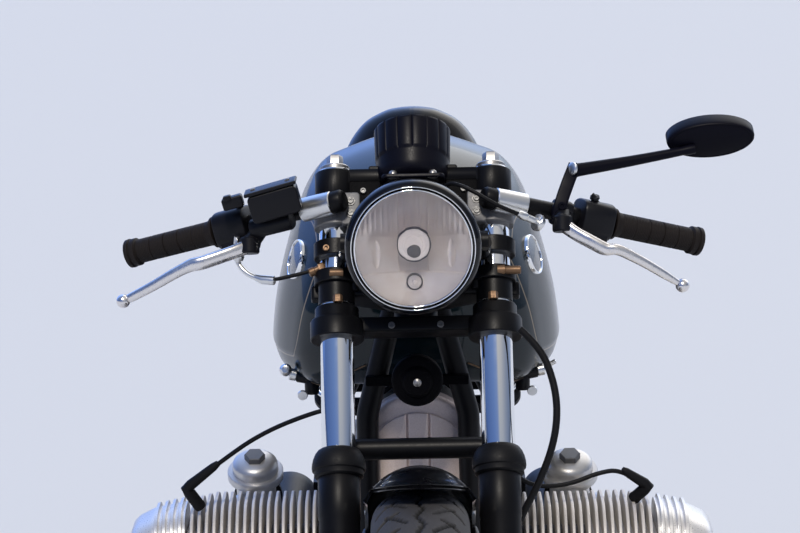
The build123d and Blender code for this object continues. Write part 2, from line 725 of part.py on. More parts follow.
# Carburettors behind the cylinders, with a domed cap, a float bowl and a cone filter
carb_x = {1: 203, -1: 216}
carb_lean = 25
cap_steps = (
    # height it starts at, radius, height, taper in degrees
    (-14, 27, 46, 0),
    (32, 36, 12, 0),
    (44, 31, 10, 0),
    (54, 31, 9, 45),
)
with BuildPart() as carburettors:
    for side, y in cylinder_y.items():
        x = side * carb_x[side]
        tube(((side * 245, y + 106.3, 457), (side * 245, y + 142, 457), (x, y + 168, 457)), 40)
        rod((x, y + 150, 457), (x, y + 212, 457), 44)
        rod((x, y + 165, 395), (x, y + 165, 464), 50)
        cap_plane = Plane(
            origin=(x, y + 172, 464),
            x_dir=(1, 0, 0),
            z_dir=(0, -sin(radians(carb_lean)), cos(radians(carb_lean))),
        )
        for start, radius, height, lean in cap_steps:
            with BuildSketch(cap_plane.offset(start)) as step:
                Circle(radius)
            extrude(step.sketch, amount=height, taper=lean)
        with BuildSketch(cap_plane.offset(62)) as knob:
            RegularPolygon(14, 6)
        extrude(knob.sketch, amount=9)
        with BuildSketch(Plane(origin=(x, y + 212, 457), z_dir=(0, 1, 0))) as filter_end:
            Circle(34)
        extrude(filter_end.sketch, amount=70, taper=6)
save(carburettors, "carburettors")

# Exhausts: a header from each head's front port, under the engine to a tapered silencer
exhaust_x = 205
header_size = 38
with BuildPart() as exhausts:
    for side, y in cylinder_y.items():
        tube(((side * 252, y - 112, crank_z - 30), (side * 252, y - 165, crank_z - 30),
              (side * 232, y - 120, 180), (side * exhaust_x, y + 100, 176),
              (side * exhaust_x, 900, 190), (side * exhaust_x, 1010, 232)),
             header_size, radius=[40, 60, 80, 200])
        start = Plane(origin=(side * exhaust_x, 990, 224), x_dir=(1, 0, 0), z_dir=(0, 1, 0.16))
        with BuildSketch(start) as inlet:
            Circle(21)
        with BuildSketch(start.offset(90)) as swell:
            Circle(42)
        with BuildSketch(start.offset(470)) as outlet:
            Circle(46)
        loft(Sketch() + [inlet.sketch, swell.sketch, outlet.sketch], ruled=True)
save(exhausts, "exhausts")

# Swingarm: two arms from the pivot, the right one round the shaft, to the final drive
arm_size = 42
shaft_arm_size = 54
with BuildPart() as swingarm:
    rod((-102, pivot_y, pivot_z), (102, pivot_y, pivot_z), 48)
    rod((-112, pivot_y, pivot_z), (112, pivot_y, pivot_z), 20)
    tube(((78, pivot_y, pivot_z), (79, 930, 386), (98, 1040, 376), (98, wheelbase, rear_z)),
         arm_size, radius=140)
    tube(((-73, pivot_y, pivot_z), (-74, 930, 387), (-106, 1050, 376), (-107, wheelbase - 111, rear_z + 9)),
         shaft_arm_size, radius=140)
    with BuildSketch(across(76, wheelbase, rear_z)) as end:
        Circle(30)
    extrude(end.sketch, amount=44)
    add(frame.part, mode=Mode.SUBTRACT)
save(swingarm, "swingarm")

with BuildPart() as final_drive:
    with BuildSketch(across(-140, wheelbase, rear_z)) as housing:
        Circle(76)
        with Locations((-70, 4)):
            Rectangle(80, 70)
    extrude(housing.sketch, amount=60)
    fillet(final_drive.faces().sort_by(Axis.X)[0].edges(), 18)
    rod((-82, wheelbase, rear_z), (76, wheelbase, rear_z), 20)
    add(swingarm.part, mode=Mode.SUBTRACT)
save(final_drive, "final_drive")

# Rear shocks: a damper in a coil spring, from the axle's ends up to the seat rails
shock_low = (130, wheelbase - 42, rear_z + 74)
shock_high = (130, 1215, 735)
with BuildPart() as shocks:
    for side in (1, -1):
        low = Vector(side * shock_low[0], *shock_low[1:])
        high = Vector(side * shock_high[0], *shock_high[1:])
        span = high - low
        rod(low, low + span * 0.42, 34)
        rod(low + span * 0.42, high, 16)
        for share in (0.16, 0.86):
            rod(low + span * share, low + span * (share + 0.03), 62)
        for turn in range(9):
            rod(low + span * (0.22 + 0.07 * turn), low + span * (0.246 + 0.07 * turn), 56)
    add(subframe.part, mode=Mode.SUBTRACT)
save(shocks, "shocks")

# Fuel tank: rounded sections from the nose to the seat, with a tunnel over the backbone
tank_sections = (
    # y, half width, lower edge, widest height, shoulder, crown
    (438, 74, 706, 750, 850, 878),
    (500, 148, 668, 716, 908, 946),
    (600, 184, 664, 710, 936, 972),
    (710, 192, 664, 710, 938, 972),
    (830, 170, 684, 728, 914, 948),
    (940, 126, 706, 750, 866, 896),
    (1000, 98, 726, 762, 818, 840),
)
with BuildPart() as fuel_tank:
    profiles = []
    for y, half, low, wide, shoulder, crown in tank_sections:
        with BuildSketch(facing(0, y, 0)) as profile:
            with BuildLine():
                base = Line((-0.84 * half, low), (0.84 * half, low))
                corner = ThreePointArc(base @ 1, (0.955 * half, low + 0.3 * (wide - low)), (half, wide))
                side_mid = 0.5 * (wide + shoulder)
                side_wall = ThreePointArc(corner @ 1, (0.905 * half, side_mid), (0.64 * half, shoulder))
                arch = ThreePointArc(side_wall @ 1, (0, crown), (-0.64 * half, shoulder))
                far_wall = ThreePointArc(arch @ 1, (-0.905 * half, side_mid), (-half, wide))
                ThreePointArc(far_wall @ 1, (-0.955 * half, low + 0.3 * (wide - low)), base @ 0)
            make_face()
        profiles.append(profile.sketch)
    loft(Sketch() + profiles)
    with BuildSketch(Plane.XY.offset(600)) as tunnel:
        with Locations((0, 730)):
            Rectangle(84, 640)
    extrude(tunnel.sketch, amount=210, mode=Mode.SUBTRACT)
save(fuel_tank, "fuel_tank")

with BuildPart() as filler_cap:
    with BuildSketch(Plane.XY.offset(966)) as cap:
        with Locations((0, 655)):
            Circle(36)
    extrude(cap.sketch, amount=20)
    add(fuel_tank.part, mode=Mode.SUBTRACT)
    fillet(filler_cap.faces().sort_by(Axis.Z)[-1].edges(), 5)
save(filler_cap, "filler_cap")

# Seat: a flat base and a raised hump behind, with a padded cushion between tank and hump
seat_base = 766
hump_sections = (
    # y, half width, lower edge, top
    (1230, 108, seat_base, 905),
    (1270, 112, seat_base, 936),
    (1350, 104, seat_base + 6, 926),
    (1440, 78, seat_base + 22, 872),
)
with BuildPart() as tail_cowl:
    profiles = []
    for y, half, low, top in hump_sections:
        with BuildSketch(facing(0, y, 0)) as profile:
            with BuildLine():
                base = Line((-half, low), (half, low))
                side_line = Line(base @ 1, (half, 0.45 * low + 0.55 * top))
                arch = ThreePointArc(side_line @ 1, (0, top), (-half, 0.45 * low + 0.55 * top))
                Line(arch @ 1, base @ 0)
            make_face()
        profiles.append(profile.sketch)
    loft(Sketch() + profiles, ruled=True)
    with BuildSketch(Plane.XY.offset(seat_base - 4)) as pan:
        with Locations((0, 1140)):
            RectangleRounded(210, 240, 20)
    extrude(pan.sketch, amount=14)
save(tail_cowl, "tail_cowl")

with BuildPart() as seat_pad:
    with BuildSketch(Plane.XY.offset(seat_base + 10.3)) as pad:
        with Locations((0, 1122)):
            RectangleRounded(216, 208, 40)
    extrude(pad.sketch, amount=46)
    fillet(seat_pad.faces().sort_by(Axis.Z)[-1].edges(), 16)
save(seat_pad, "seat_pad")

with BuildPart() as tail_lamp:
    rod((0, 1434, 830), (0, 1462, 830), 66)
    add(tail_cowl.part, mode=Mode.SUBTRACT)
save(tail_lamp, "tail_lamp")

# Footrests on a hanger bolted to the pivot plates, with their small levers
with BuildPart() as footrests:
    for side in (1, -1):
        with BuildSketch(across(side * 145 - 4, pivot_y + 20, 390)) as hanger:
            Polygon((-34, 70), (34, 70), (62, -40), (20, -84), (-34, -84), align=None)
        extrude(hanger.sketch, amount=8)
        for height in (448, 316):
            rod((side * 112, pivot_y + 20, height), (side * 145, pivot_y + 20, height), 20)
        rod((side * 141, pivot_y + 62, 350), (side * 240, pivot_y + 62, 356), 22)
        rod((side * 153, pivot_y + 60, 350), (side * 155, pivot_y - 90, 368), 12)
        rod((side * 150, pivot_y - 90, 368), (side * 205, pivot_y - 90, 372), 16)
    add(frame.part, mode=Mode.SUBTRACT)
save(footrests, "footrests")

# Battery box under the seat, carried on two rods between the stays
with BuildPart() as battery_box:
    with BuildSketch(Plane.XY.offset(560)) as box:
        with Locations((0, 1020)):
            RectangleRounded(150, 130, 12)
    extrude(box.sketch, amount=122)
    add(subframe.part, mode=Mode.SUBTRACT)
save(battery_box, "battery_box")

# Horn on a bar between the down tubes
horn_z = 703
with BuildPart() as horn:
    rod((0, 296, horn_z), (0, 320, horn_z), 64)
    rod((0, 288, horn_z), (0, 296, horn_z), 34)
    rod((0, 320, horn_z - 4), (0, 372, horn_z - 6), 14)
    with BuildSketch(facing(0, 378, horn_z - 6)) as stay:
        Rectangle(130, 12)
    extrude(stay.sketch, amount=14)
    add(frame.part, mode=Mode.SUBTRACT)
save(horn, "horn")

# Spark plug leads from the coil under the backbone to the plug caps in the heads
lead_routes = {
    -1: ((-10, 480, 700), (-28, 476, 668), (-72, 472, 648), (-125, 474, 640), (-201, 484, 610),
         (-261, 492, 568), (-304, 498, 534)),
    1: ((10, 490, 700), (34, 482, 668), (86, 474, 640), (112, 466, 566), (140, 470, 534),
        (190, 480, 531), (234, 486, 547), (264, 490, 549), (298, 494, 526)),
}
plug_ends = {-1: (-286, 506, 506), 1: (278, 504, 506)}
with BuildPart() as spark_leads:
    rod((0, 468, 706), (0, 556, 706), 44)
    rod((0, 512, 712), (0, 512, 736), 20)
    for side, route in lead_routes.items():
        tube(route, 7)
        rod(route[-2], route[-1], 12)
        rod(route[-1], plug_ends[side], 16)
        with Locations(route[-1]):
            Sphere(8)
    add(frame.part, mode=Mode.SUBTRACT)
save(spark_leads, "spark_leads")
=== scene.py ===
"""A cafe racer motorcycle with a flat twin engine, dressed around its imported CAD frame.

Places are in metres: X is the rider's left, -Y is the front, Z is up, and the floor is at Z = 0. The
sizes handed to turned(), carried(), slab(), rounded() and the bolts' heads are in millimetres.
"""
from math import cos, pi, radians, sin

import bmesh
import bpy
import numpy as np
from mathutils import Matrix, Vector


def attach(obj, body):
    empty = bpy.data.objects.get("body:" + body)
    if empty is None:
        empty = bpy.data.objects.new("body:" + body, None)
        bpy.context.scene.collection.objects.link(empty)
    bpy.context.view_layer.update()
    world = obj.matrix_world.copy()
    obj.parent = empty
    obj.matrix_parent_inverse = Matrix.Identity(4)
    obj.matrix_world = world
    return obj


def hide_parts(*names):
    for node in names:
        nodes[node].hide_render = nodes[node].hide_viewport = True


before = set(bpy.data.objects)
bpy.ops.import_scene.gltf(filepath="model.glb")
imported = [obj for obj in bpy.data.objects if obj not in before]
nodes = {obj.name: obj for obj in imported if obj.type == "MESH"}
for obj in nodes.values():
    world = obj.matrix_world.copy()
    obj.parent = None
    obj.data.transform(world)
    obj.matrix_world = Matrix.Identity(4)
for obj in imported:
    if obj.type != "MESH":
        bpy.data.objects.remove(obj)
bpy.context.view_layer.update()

# Camera: a long lens 4.2 m ahead of the lamp and nine degrees above it, tipped a little to one side
lamp_centre = np.array([0.0, 0.205, 0.89])
toward_bike = np.array([0.0, 0.9877, -0.1564])
camera_place = lamp_centre - 4.2 * toward_bike
tip = radians(1.2)
level_up = np.array([0.0, 0.1564, 0.9877])
side_axis = np.array([1.0, 0.0, 0.0])
picture_right = side_axis * cos(tip) - level_up * sin(tip)
picture_up = side_axis * sin(tip) + level_up * cos(tip)

# In pixels: the focal length, the picture's width, and how far the lamp is right of and above its middle
focal_pixels, picture_width = 3489, 800
lamp_right, lamp_up = 14.5, 17.5
gaze = toward_bike * focal_pixels - picture_right * lamp_right - picture_up * lamp_up
gaze /= np.linalg.norm(gaze)
right_hand = np.cross(gaze, picture_up)
right_hand /= np.linalg.norm(right_hand)
camera = bpy.data.objects.new("camera", bpy.data.cameras.new("camera"))
camera.data.sensor_width = 36
camera.data.lens = focal_pixels * camera.data.sensor_width / picture_width
camera.data.clip_end = 200
camera.matrix_world = Matrix.LocRotScale(
    Vector(camera_place),
    Matrix(np.array([right_hand, np.cross(right_hand, gaze), -gaze]).T.tolist()),
    Vector((1, 1, 1)))
bpy.context.scene.collection.objects.link(camera)
bpy.context.scene.camera = camera
bpy.context.scene.view_settings.view_transform = "Standard"


# Floor and light: a pale matt floor, a soft high sun, and a sky that is paler overhead than at the sides
def stretched(tree, source, low, high, to_low=0.0, to_high=1.0):
    """A value stretched from its run low..high to to_low..to_high, and held at both ends."""
    node = tree.nodes.new("ShaderNodeMapRange")
    for socket, number in (("From Min", low), ("From Max", high), ("To Min", to_low), ("To Max", to_high)):
        node.inputs[socket].default_value = number
    tree.links.new(source, node.inputs["Value"])
    return node.outputs[0]


def colour_run(tree, source, stops):
    """A run of colours, from stops of a place between 0 and 1 and a colour."""
    node = tree.nodes.new("ShaderNodeValToRGB")
    for element, (place, colour) in zip(node.color_ramp.elements, (stops[0], stops[-1])):
        element.position = place
        element.color = (*colour, 1)
    for place, colour in stops[1:-1]:
        node.color_ramp.elements.new(place).color = (*colour, 1)
    tree.links.new(source, node.inputs[0])
    return node.outputs[0]


def colour_mix(tree, near, far, share, blend="MIX"):
    """Two colours mixed by a share. Each of the three is a plain value or another node's output."""
    node = tree.nodes.new("ShaderNodeMix")
    node.data_type = "RGBA"
    node.blend_type = blend
    for socket, value in (("A", near), ("B", far), ("Factor", share)):
        if hasattr(value, "links"):
            tree.links.new(value, node.inputs[socket])
        else:
            node.inputs[socket].default_value = value if socket == "Factor" else (*value, 1)
    return node.outputs["Result"]


def grain(made, scale, spread=None, bump=0.0, colours=None, cells=False):
    """A noise or cell pattern on Object coordinates: it varies the roughness over a spread and the colour
    between two colours, and raises the surface by bump metres."""
    tree = made.node_tree
    shader = tree.nodes["Principled BSDF"]
    pattern = tree.nodes.new("ShaderNodeTexVoronoi" if cells else "ShaderNodeTexNoise")
    pattern.inputs["Scale"].default_value = scale
    tree.links.new(tree.nodes.new("ShaderNodeTexCoord").outputs["Object"], pattern.inputs["Vector"])
    value = pattern.outputs[0]
    if spread:
        tree.links.new(stretched(tree, value, 0.3, 0.7, *spread), shader.inputs["Roughness"])
    if colours:
        between = colour_run(tree, value, ((0.35, colours[0]), (0.65, colours[1])))
        tree.links.new(between, shader.inputs["Base Color"])
    if bump:
        rise = tree.nodes.new("ShaderNodeBump")
        rise.inputs["Strength"].default_value = 0.6
        rise.inputs["Distance"].default_value = bump
        tree.links.new(value, rise.inputs["Height"])
        before = shader.inputs["Normal"].links
        if before:
            tree.links.new(before[0].from_socket, rise.inputs["Normal"])
        tree.links.new(rise.outputs[0], shader.inputs["Normal"])


def finish(
    name, base, rough, scale=None, spread=None, bump=0.0, colours=None, metallic=0.0, coat=0.0, specular=0.5
):
    """A material: plain numbers on the shader's own sockets, and a grain over them if a scale is given."""
    made = bpy.data.materials.new(name)
    made.use_nodes = True
    sockets = made.node_tree.nodes["Principled BSDF"].inputs
    for socket, value in (
        ("Base Color", (*base, 1)), ("Roughness", rough), ("Metallic", metallic), ("Coat Weight", coat),
        ("Coat Roughness", 0.04), ("Specular IOR Level", specular)):
        sockets[socket].default_value = value
    if scale:
        grain(made, scale, spread, bump, colours)
    return made


floor_reach = 60
floor_mesh = bpy.data.meshes.new("floor")
floor_corners = [(a * floor_reach, b * floor_reach, 0) for a, b in ((-1, -1), (1, -1), (1, 1), (-1, 1))]
floor_mesh.from_pydata(floor_corners, [], [(0, 1, 2, 3)])
floor = bpy.data.objects.new("floor", floor_mesh)
floor_mesh.materials.append(finish("floor_paint", (0.6, 0.61, 0.61), 0.85))
bpy.context.scene.collection.objects.link(floor)
sky = bpy.data.worlds.new("sky")
sky.use_nodes = True
bpy.context.scene.world = sky
room = sky.node_tree
sky_axes = room.nodes.new("ShaderNodeSeparateXYZ")
room.links.new(room.nodes.new("ShaderNodeTexCoord").outputs["Generated"], sky_axes.inputs[0])
height_shade = colour_run(
    room,
    stretched(room, sky_axes.outputs["Z"], -0.05, 0.7),
    ((0, (0.16, 0.18, 0.2)), (0.22, (0.48, 0.56, 0.7)), (1, (0.82, 0.82, 0.82))))

# The room is blue on one side and white on the other, so that round chrome shows its shape
side_shade = colour_run(room, stretched(room, sky_axes.outputs["X"], -1, 1), (
    (0, (0.24, 0.38, 0.78)), (0.3, (0.3, 0.48, 0.96)), (0.48, (0.42, 0.58, 1.0)), (0.59, (1.0, 1.0, 1.0)),
    (0.75, (0.94, 0.93, 0.95)), (1, (0.5, 0.56, 0.7))))
backdrop = room.nodes["Background"].inputs
room.links.new(colour_mix(room, height_shade, side_shade, 1, "MULTIPLY"), backdrop["Color"])

# It is brighter behind the machine, where its rounded tops and edges look
room.links.new(stretched(room, sky_axes.outputs["Y"], 0.1, 0.75, 0.62, 2.2), backdrop["Strength"])
for light_name, power, spread, turn in (
    ("high_sun", 2.35, 9, (38, 14, -24)), ("fill_sun", 0.4, 50, (55, 0, 150))):
    light = bpy.data.objects.new(light_name, bpy.data.lights.new(light_name, "SUN"))
    light.data.energy = power
    light.data.angle = radians(spread)
    light.data.color = (1.0, 0.93, 0.83)
    light.rotation_euler = [radians(a) for a in turn]
    bpy.context.scene.collection.objects.link(light)


# Frame, rear frame and swingarm: round steel tubes, brazed and welded, then powder coated in satin
# black. The swingarm's right arm is wider because the drive shaft runs inside it.
def dress(node_name, made, edge=0.0):
    """Gives a CAD node its finish and joins its loose triangles. Its sharp edges are rounded by edge metres,
    or only kept sharp, so that its round faces shade smoothly."""
    node = nodes[node_name]
    node.data.materials.clear()
    node.data.materials.append(made)
    node.data.shade_smooth()
    weld = node.modifiers.new("join", "WELD")
    weld.merge_threshold = 0.00002
    if edge:
        bevel = node.modifiers.new("edge", "BEVEL")
        bevel.width = edge
        bevel.segments = 2
        bevel.limit_method = "ANGLE"
        bevel.angle_limit = radians(40)
        bevel.harden_normals = True
        bevel.use_clamp_overlap = False
    else:
        split = node.modifiers.new("crease", "EDGE_SPLIT")
        split.split_angle = radians(34)
    return node


satin_black = finish(
    "satin_black", (0.004, 0.004, 0.005), 0.4, 700, (0.34, 0.46), bump=0.00004, specular=0.15)
for node_name in ("frame", "subframe", "swingarm", "centre_stand", "footrests"):
    dress(node_name, satin_black)
dress("battery_box", satin_black, 0.002)
dress("front_calipers", satin_black, 0.0012)

# Wheels: polished aluminium rims, steel spokes laced across each other, and cast hubs
wheel_metal = finish("wheel_metal", (0.72, 0.72, 0.71), 0.22, 180, (0.16, 0.3), metallic=1.0)
dress("front_wheel", wheel_metal)
dress("rear_wheel", wheel_metal)


# Tyres: black rubber on both wheels, with a zigzag groove round the middle and slanting side grooves
# moulded into the tread, and fine rings on the side walls.
def piece(name, made, body, grids, stands_for=None, along=False, caps=True, crease=38):
    """One finished piece from grids of points, rows by columns, where each four neighbours make a face. A
    grid closes on itself across its columns, and along its rows if asked; flat ends get one face each,
    doubled points merge, and faces turn out. The piece rides on a body and may stand for a CAD node."""
    points, faces, count = [], [], 0
    for grid in grids:
        rows, columns = grid.shape[:2]
        index = np.arange(rows * columns).reshape(rows, columns) + count
        ends = [index[0], index[-1][::-1]] if caps and (not along) else []
        index = np.concatenate([index, index[:, :1]], 1)
        if along:
            index = np.concatenate([index, index[:1]], 0)
        quads = np.stack([
            index[:-1, :-1], index[:-1, 1:], index[1:, 1:], index[1:, :-1]], -1).reshape(-1, 4)
        faces += quads.tolist()
        flat = grid.reshape(-1, 3)
        faces += [end.tolist() for end in ends if np.ptp(flat[end - count], axis=0).max() > 0.00001]
        points.append(flat)
        count += rows * columns
    mesh = bpy.data.meshes.new(name)
    mesh.from_pydata(np.concatenate(points).tolist(), [], faces)
    work = bmesh.new()
    work.from_mesh(mesh)
    bmesh.ops.remove_doubles(work, verts=work.verts, dist=0.000004)
    bmesh.ops.dissolve_degenerate(work, edges=work.edges, dist=0.0000001)
    bmesh.ops.recalc_face_normals(work, faces=work.faces)
    work.to_mesh(mesh)
    work.free()
    mesh.shade_smooth()
    mesh.set_sharp_from_angle(angle=radians(crease))
    thing = bpy.data.objects.new(name, mesh)
    bpy.context.scene.collection.objects.link(thing)
    mesh.materials.append(made)
    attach(thing, body)
    if stands_for:
        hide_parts(stands_for)
    return thing


def places_of(thing):
    """The points of a piece's mesh, one row each."""
    spots = np.empty(len(thing.data.vertices) * 3)
    thing.data.vertices.foreach_get("co", spots)
    return spots.reshape(-1, 3)


def mark(thing, name, values):
    """Gives each point of a piece a value of its own, for its material to read."""
    thing.data.attributes.new(name, "FLOAT", "POINT").data.foreach_set("value", values)


def both(make):
    """The grids of the left piece and of the right one, which differ only by their side."""
    return [grid for side in (1, -1) for grid in make(side)]


def full_turn(count):
    """Angles at even steps round a full turn."""
    return np.linspace(0, 2 * pi, count, endpoint=False)


def turned(profile, centre, axis, steps=64, ripple=None):
    """A surface of revolution: a profile of radius and distance along the axis, in millimetres, turned round
    the axis through centre. ripple(angle, row) scales the radius, for flutes and flats."""
    profile = np.array(profile, float) / 1000
    axis = np.array(axis, float) / np.linalg.norm(axis)
    first = np.cross(axis, [0.0, 0.0, 1.0] if abs(axis[2]) < 0.9 else [0.0, 1.0, 0.0])
    first /= np.linalg.norm(first)
    second = np.cross(axis, first)
    angle = full_turn(steps)
    radius = np.repeat(profile[:, :1], steps, 1)
    if ripple is not None:
        radius = radius * ripple(angle[None, :], np.arange(len(profile))[:, None])
    ring = np.cos(angle)[:, None] * first + np.sin(angle)[:, None] * second
    return np.array(centre) + radius[..., None] * ring[None] + profile[:, 1][:, None, None] * axis


def smooth_run(points, count):
    """A smooth run through the points: cubic pieces whose slope at each point is half the step between its
    neighbours, sampled at count even shares."""
    points = np.array(points, float)
    padded = np.concatenate([[2 * points[0] - points[1]], points, [2 * points[-1] - points[-2]]])
    share = np.linspace(0, len(points) - 1, count)
    step = np.minimum(share.astype(int), len(points) - 2)
    t = (share - step).reshape(-1, *[1] * (points.ndim - 1))
    a, b, c, d = (padded[step + k] for k in range(4))
    squared = t ** 2 * (a - 2.5 * b + 2 * c - 0.5 * d)
    cubed = t ** 3 * (1.5 * b - 0.5 * a - 1.5 * c + 0.5 * d)
    return b + 0.5 * t * (c - a) + squared + cubed


def slanting(around, sideways, start, end, pitch):
    """Each tread point's distance from the nearest of many equal slanting grooves, pitch metres apart."""
    start, end = np.array(start), np.array(end)
    run = end - start
    nearest = np.full(np.broadcast(around, sideways).shape, 1.0)
    for shift in (-1, 0, 1):
        s = np.mod(around, pitch) + shift * pitch
        share = np.clip(((s - start[0]) * run[0] + (sideways - start[1]) * run[1]) / (run @ run), 0, 1)
        nearest = np.minimum(nearest, np.hypot(
            s - start[0] - share * run[0], sideways - start[1] - share * run[1]))
    return nearest


# Columns: share of the half width, share of the height over the rim's flange
tread_key = np.array([
    (0.0, 1.0), (0.22, 0.993), (0.43, 0.962), (0.62, 0.905), (0.79, 0.815), (0.91, 0.7), (0.98, 0.57),
    (1.0, 0.43), (0.98, 0.28), (0.91, 0.15), (0.8, 0.06), (0.66, 0.02), (0.5, 0.0), (0.48, -0.12)])
rim_flange = 0.24
axle_z = 0.316


def tread(wheel_y, wheel_z, radius, width, rows, columns):
    """A tyre's skin: a smooth profile from the rim over the crown, carried round the wheel, and let in by
    4 mm wherever a point lies within a groove's half width of its line."""
    half_run = smooth_run(tread_key, columns // 2 + 1)
    profile = np.concatenate([half_run[:0:-1] * [-1, 1], half_run])
    x = profile[:, 0] * width / 2
    r = rim_flange + profile[:, 1] * (radius - rim_flange)
    turn = full_turn(rows)[:, None]
    around = turn * radius
    sideways = np.concatenate([[0], np.cumsum(np.hypot(np.diff(x), np.diff(r)))])
    sideways = (sideways - sideways[-1] / 2)[None, :]
    # The pattern repeats about every 43 mm, a whole number of times round the tyre
    laps = round(2 * pi * radius / 0.0432)
    pitch = 2 * pi * radius / laps
    wave = 0.0042 * (2 * np.abs(2 * np.mod(around / pitch, 1) - 1) - 1)
    nearest = np.abs(sideways - wave) * 0.9
    for side in (1, -1):
        moved = around + (0.5 * pitch if side > 0 else 0)
        nearest = np.minimum(nearest, slanting(
            moved, sideways * side, (0.006, 0.016), (0.034, 0.04), pitch))
        nearest = np.minimum(nearest, slanting(
            moved, sideways * side, (0.036, 0.026), (0.016, 0.056), pitch))
    on_tread = np.clip((0.06 - np.abs(sideways)) / 0.006, 0, 1)
    depth = 0.004 * np.clip((0.0029 - nearest) / 0.0014, 0, 1) * on_tread
    side_wall = (np.abs(sideways) > 0.07) & (np.abs(sideways) < 0.086)
    rings = 0.0005 * (np.cos(sideways * 1400) > 0.4) * side_wall
    reach = r[None, :] - depth - rings
    return np.stack([x + 0 * reach, wheel_y + reach * np.sin(turn), wheel_z + reach * np.cos(turn)], -1)


def tint_by(made, attribute, near, far):
    """Mixes the base colour from near to far by the piece's own attribute, which runs from 0 to 1."""
    tree = made.node_tree
    base = tree.nodes["Principled BSDF"].inputs["Base Color"]
    reader = tree.nodes.new("ShaderNodeAttribute")
    reader.attribute_name = attribute
    if base.links:
        near = base.links[0].from_socket
    tree.links.new(colour_mix(tree, near, far, reader.outputs["Fac"]), base)


tyre_rubber = finish(
    "tyre_rubber", (0.022, 0.021, 0.02), 0.8, 900, (0.72, 0.9), bump=0.00006,
    colours=((0.026, 0.025, 0.027), (0.044, 0.043, 0.046)))
# Painted shade: the grooves' insides are coloured near black, as the shadow in the tread's recesses
tint_by(tyre_rubber, "groove", (0.034, 0.033, 0.035), (0.003, 0.003, 0.003))

# The wheel's y and z, the tyre's radius and width, and the rows and columns of its points
for tyre_name, body, place in (
    ("front_tyre", "front_wheel", (0, axle_z, 0.316, 0.116, 900, 104)),
    ("rear_tyre", "rear_wheel", (1.475, 0.34, 0.328, 0.13, 760, 84))):
    tyre = piece(
        tyre_name + "_treaded", tyre_rubber, body, [tread(*place)], tyre_name, along=True,
        caps=False)
    # A point lies in a groove as far as it is below the smooth profile at its own distance from the middle,
    # and by so much it gets the painted shade
    spots = places_of(tyre)
    crown = smooth_run(tread_key[:7], 60) * [place[3] / 2, place[2] - rim_flange] + [0, rim_flange]
    smooth_reach = np.interp(np.abs(spots[:, 0]), crown[:, 0], crown[:, 1])
    below = smooth_reach - np.hypot(spots[:, 1] - place[0], spots[:, 2] - place[1])
    mark(
        tyre, "groove",
        np.clip((below - 0.0008) / 0.0012, 0, 1) * (np.abs(spots[:, 0]) < 0.9 * place[3] / 2))

# Brake discs: ground steel rings on five-armed carriers, with a ring of drilled holes that cool the pads
disc_steel = finish("disc_steel", (0.55, 0.54, 0.53), 0.32, 260, (0.26, 0.4), metallic=1.0)
dress("front_discs", disc_steel)

# Fork: hard chromed tubes sliding in black legs, each closed by a rubber seal cap that flares over the leg
steering_foot = np.array([0.0, 0.313457, 0.787])
fork_lean = radians(28)
up_fork = np.array([0.0, sin(fork_lean), cos(fork_lean)])
behind_fork = np.array([0.0, cos(fork_lean), -sin(fork_lean)])
leg_x, leg_back = 0.097, -0.04


def on_fork(x, back, up):
    """World points from places across, behind and along the steering axis, counted from the lower clamp."""
    x, back, up = np.broadcast_arrays(x, back, up)
    beside = steering_foot + x[..., None] * side_axis
    return beside + back[..., None] * behind_fork + up[..., None] * up_fork


def on_leg(side, up=0.0):
    """A point on the middle line of a fork leg."""
    return on_fork(side * leg_x, leg_back, up)


chrome_plate = finish("chrome_plate", (0.9, 0.91, 0.92), 0.05, 60, (0.03, 0.09), metallic=1.0)
piece("chromed_tubes", chrome_plate, "steering", [
    turned([(20, 0), (20.5, 1), (20.5, 367), (20, 368)], on_leg(side, -0.189), up_fork) for side in (1, -1)
], "fork_tubes")
soft_rubber = finish(
    "soft_rubber", (0.006, 0.006, 0.007), 0.5, 500, (0.42, 0.6), bump=0.00005, specular=0.15)
seal_shape = [
    (20.8, 2), (22.8, 2.2), (25.5, 0.5), (28.8, -4), (31.2, -10), (32.6, -16), (33, -21), (32.4, -24.5),
    (30.6, -25.8), (30.2, -28), (30, -31.5), (27.8, -33.5), (26.2, -34), (25, -34)]
piece(
    "fork_seal_caps", soft_rubber, "steering",
    [turned(seal_shape, on_leg(side, -0.182), up_fork) for side in (1, -1)],
    caps=False)

# The lower legs are cast aluminium tubes in satin black, with a lug at the foot for the hollow axle
leg_shape = [
    (0, -589), (20, -589), (23.5, -585), (25, -578), (25, -545), (26.2, -540), (26.2, -520), (25, -515),
    (25, -268), (25.8, -266), (25.8, -214), (24.5, -212), (0, -212)]
piece("fork_legs", satin_black, "steering", [
    *[turned(leg_shape, on_leg(side), up_fork) for side in (1, -1)],
    *[
        turned([
            (7, -25), (23, -25), (25, -23), (25, 23), (23, 25), (7, 25), (7, -25)
        ], (side * 0.095, 0, axle_z), (1, 0, 0))
        for side in (1, -1)],
    turned([(7, -122), (8.5, -122), (8.5, 122), (7, 122), (7, -122)], (0, 0, axle_z), (1, 0, 0), 40)
], "fork_lowers", caps=False)

# Triple clamps: cast and machined aluminium, coated black, pinching the fork tubes. A black plate hangs
# under each side of the upper one.
dress("top_clamp", satin_black, 0.0016)
lower_grids = [
    turned([
        (20.6, -41), (31.8, -41), (33, -39.8), (33, -18.5), (31.6, -16.2), (28, -15.2), (27.2, -14),
        (27, -1.5), (26, 0), (20.6, 0)], on_leg(side), up_fork)
    for side in (1, -1)]


